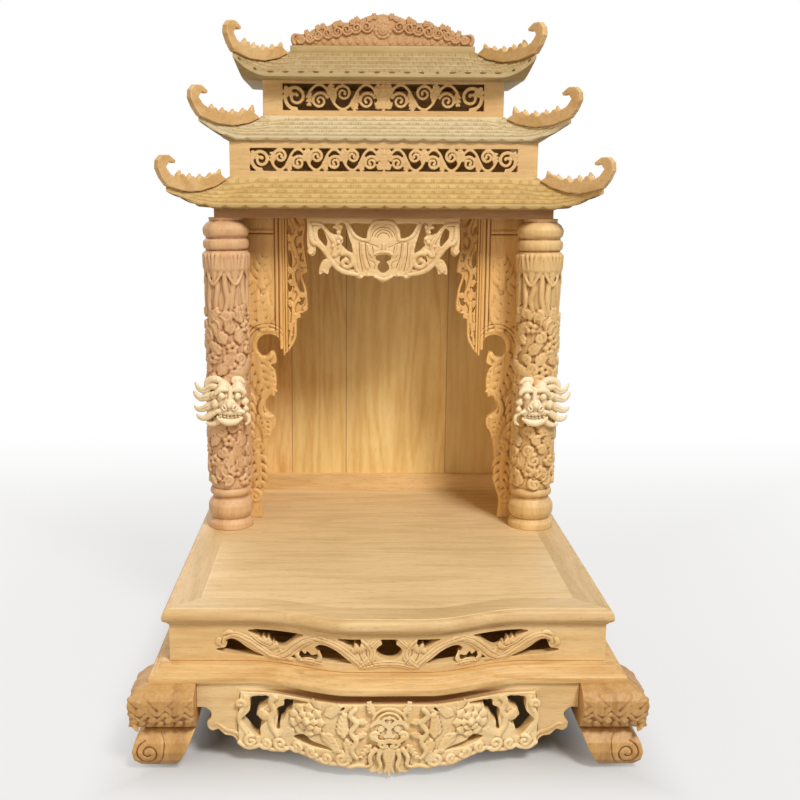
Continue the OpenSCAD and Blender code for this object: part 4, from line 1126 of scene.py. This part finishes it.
# half width, front and level of the storeys' feet and heads, and of the ridge
lower_foot, lower_head = (245, 103, 790), (245, 103, 844)
upper_foot, upper_head = (195, 153, 887), (195, 153, 943)
ridge = (154, 222, 996)
lower = roof("tiled_roof_lower", (268, 76, 740), lower_foot, (290, 58), 740, (24, 42, 35), 31, False)
finish_piece(lower, "roof_lower", "tile_wood", 26, straw_low)
middle = roof("tiled_roof_middle", lower_head, upper_foot, (250, 98), 844, (26, 37, 32), 31, False)
finish_piece(middle, "roof_middle", "tile_wood", 26, straw)
top = roof("tiled_roof_top", upper_head, ridge, (228, 120), 943, (28, 10, 46), 24, True)
bpy.ops.mesh.primitive_cube_add(size=1, location=(0, 0.230, 1.0005))
beam = bpy.context.object
beam.scale = (0.308, 0.016, 0.0105)
bpy.ops.object.transform_apply(location=True, rotation=True, scale=True)
edit_all(lambda: bpy.ops.mesh.bevel(offset=0.0016, segments=3))
pick_up(beam, top)
bpy.ops.object.join()
finish_piece(top, "roof_top", "tile_wood", 26, straw_top)


# ---------- corner crests ----------
# A crescent crest on each hip, its back toothed and its tip curling in, eased by hand.
crest_wood = wood("crest_wood", (0.76, 0.52, 0.25), (0.58, 0.34, 0.12), "x", True, 0.6)
for tier, head, corner in (("lower", lower_foot, (332, 16, 774)), ("middle", upper_foot, (287, 61, 880)),
                           ("top", ridge, (238, 110, 981))):
    hip_x, hip_y = corner[0] - head[0], corner[1] - head[1]
    long = math.hypot(hip_x, hip_y)
    inner, root_z = long * 0.075, (corner[2] + head[2]) / 2 + 1.3
    for side, word in sides:
        name = "crest_%s_%s" % (tier, word)
        parts = [of_node(name)]
        for share in (0.12, 0.29, 0.46, 0.63, 0.8):
            along, foot_z = inner + (long - inner) * share, root_z + 14 * (2 * share - 1) ** 2
            for v, f in (bead(along, foot_z + 0.5, 6.4), bead(along - 1.5, foot_z + 5, 4, 0, 1),
                         bead(along - 2.5, foot_z + 8, 2.4, 0, 1)):
                v = np.stack([side * (head[0] + (v[:, 0] * hip_x - v[:, 1] * hip_y) / long),
                              head[1] + (v[:, 0] * hip_y + v[:, 1] * hip_x) / long, v[:, 2]], 1)
                parts.append((v, f))
        piece = carve("eased_" + name, parts, 0.8, 0.5, rounds=1)
        finish_piece(piece, name, "golden_wood", 50, crest_wood)


# ---------- storeys ----------
# Low pierced boards between the roofs: plain stiles and rails round an openwork field, where a
# winding stem branches into scrolls and leaves on both sides of a disc.
def arabesque(half_width, h):
    """An openwork field of height h: a stem from beside the disc to a big scroll at each end."""
    middle, start, half = 0.5 * h, 0.2 * h, []
    disc = [bead(0, 0.52 * h, 0.3 * h, 3, 0.3)]
    disc += strokes(1.5, 0.5, ([(0, h), (0, 0.78 * h)], [0.05 * h, 0.12 * h]),
                    ([(0, 0.34 * h), (0, 0)], [0.14 * h, 0.05 * h]))

    def scroll(x, z, r, start, turns, wide, thin):
        half.extend(curl(x, z, r, start, turns, wide, thin, 1.5, 0.9))

    def frond(x, z, heading, length, width, bend):
        half.extend(leaf(x, z, heading, length * h, width * h, bend, 1.5, 0.8, 3))

    scroll(half_width - middle, middle, 0.46 * h, 265, 1.6, 3.2, 2.2)
    frond(half_width - 0.12 * h, 0.86 * h, 250, 0.4, 0.4, -40)
    half.append(bead(half_width - 1, middle, 2.6, 1.5))
    length = half_width - 0.94 * h - start
    cells = max(1, round(length / (0.8 * h)))
    cell = length / cells
    stem = []
    for t in np.arange(0, cells + 0.01, 0.125):
        wave = math.sin(math.pi * t)
        stem.append((start + t * cell, h * (0.5 + 0.45 * math.copysign(abs(wave) ** 0.75, wave))))
    half.append(stroke(stem, 2.3, 1.5, 0.9))
    for i in range(cells):
        x, hand = start + cell * (i + 0.5), (1 if i % 2 == 0 else -1)
        scroll(x - 0.02 * h, h * (0.5 - hand * 0.14), 0.32 * h, 90 * hand + 70, -1.6 * hand, 2.7, 1.8)
        frond(x + 0.36 * cell, h * (0.5 + hand * 0.14), -75 * hand, 0.5, 0.34, -14 * hand)
        frond(x - 0.4 * cell, h * (0.5 + hand * 0.1), 104 if hand > 0 else 256, 0.4, 0.36, 14 * hand)
    frond(0.06 * h, 0.12 * h, 30, 0.3, 0.36, 30)
    return disc + mirrored(half)


storey_x = wood("storey_wood_x", (0.72, 0.49, 0.23), (0.57, 0.35, 0.14), "x", True, 0.8)
storey_y = wood("storey_wood_y", (0.70, 0.47, 0.22), (0.56, 0.34, 0.13), "y", True, 0.8)
bottom_rail = 9
for tier, half_width, height, top_rail in (("lower", 245, 54, 9.5), ("upper", 195, 56, 4.5)):
    for side, word in ((0, "front"), *sides):
        name = "storey_%s_%s" % (tier, word)
        low, high = box_of(name)
        if side:
            reach, stile, grain, finish = half_length(name), 30, 1.2, storey_y
            stand = on_side(name, side, 1, low[2])
        else:
            reach, stile, grain, finish = half_width, 32, 0.9, storey_x
            stand = moved(0, low[1], low[2])
        x, top = reach - stile, height - top_rail
        board = plate([(-reach, 0), (reach, 0), (reach, height), (-reach, height)],
                      [[(-x, bottom_rail), (x, bottom_rail), (x, top), (-x, top)]], 0, 12)
        open_work = [(v + np.array([0, 0, bottom_rail]), f) for v, f in arabesque(x, top - bottom_rail)]
        piece = carve("openwork_%s_%s" % (tier, word), [board] + open_work, grain, 0.4, bend=stand,
                      rounds=1, inside=(low, high))
        finish_piece(piece, name, "golden_wood", 50, finish)


# ---------- ridge crest ----------
# A pinkish board on the ridge, its top edge rising in cloud lumps to the middle, carved on
# both faces with dense scrolls round a petalled disc, between pale curled end posts.
ridge_wood = wood("ridge_wood", (0.56, 0.33, 0.155), (0.42, 0.22, 0.09), "x", True, 0.5,
                  seam_and_hollow_shade=(0.20, 0.065, 0.02))
crown = [(0, 51), (8, 49), (16, 48.5), (22, 47), (30, 45.5), (38, 42), (48, 41), (56, 37), (66, 37),
         (76, 34), (84, 34.5), (92, 31), (102, 31.5), (110, 27), (118, 25), (124, 19), (134, 18), (142, 19),
         (149, 15), (152, 10), (151, 0)]
board, half = plate(flipped(crown[::-1]) + crown[1:], [], 1.5, 9.5), []
for i, (x, z, r) in enumerate(((27, 30, 8.5), (44, 28, 8), (60, 25, 8), (76, 22, 8), (92, 19, 7.5),
                               (108, 16, 7), (122, 11, 6.5), (136, 9, 6))):
    start, turns = (-20, -1.5) if i % 2 else (200, 1.5)
    half += curl(x, z, r * 1.12, start, turns, 2.3, 1.4, 0.2, 1.2)
for x, z, heading in ((12, 42, 60), (26, 39, 130), (40, 37, 50), (54, 33, 120), (68, 31, 50), (82, 29, 120),
                      (96, 26, 50), (110, 23, 110), (124, 15, 60)):
    half += leaf(x, z, heading, 10, 12, 20, 0.4, 0.9, 3, 0.8)
for x in range(12, 140, 14):
    half += leaf(x, 3, 70 if x % 28 else 110, 11, 10, 10, 1, 0.7, 3)
half += [stroke([(146, 1), (150, 8), (148, 16), (142, 17)], [3.4, 3.4, 3, 2], 1, 0.9)]
work = blossom(0, 25, 17, 11, 0.8, 0.4) + mirrored(half)
work += [(v * np.array([1, -1, 1]) + np.array([0, 11, 0]), f) for v, f in work]
piece = carve("carved_ridge", [board] + work, 0.72, 0.45, bend=moved(0, 224.5, 1006), rounds=1,
              inside=((-154, 222, 1006), (154, 238, 1057.9)))
finish_piece(piece, "ridge_crest", "pinkish_wood", 50, ridge_wood)
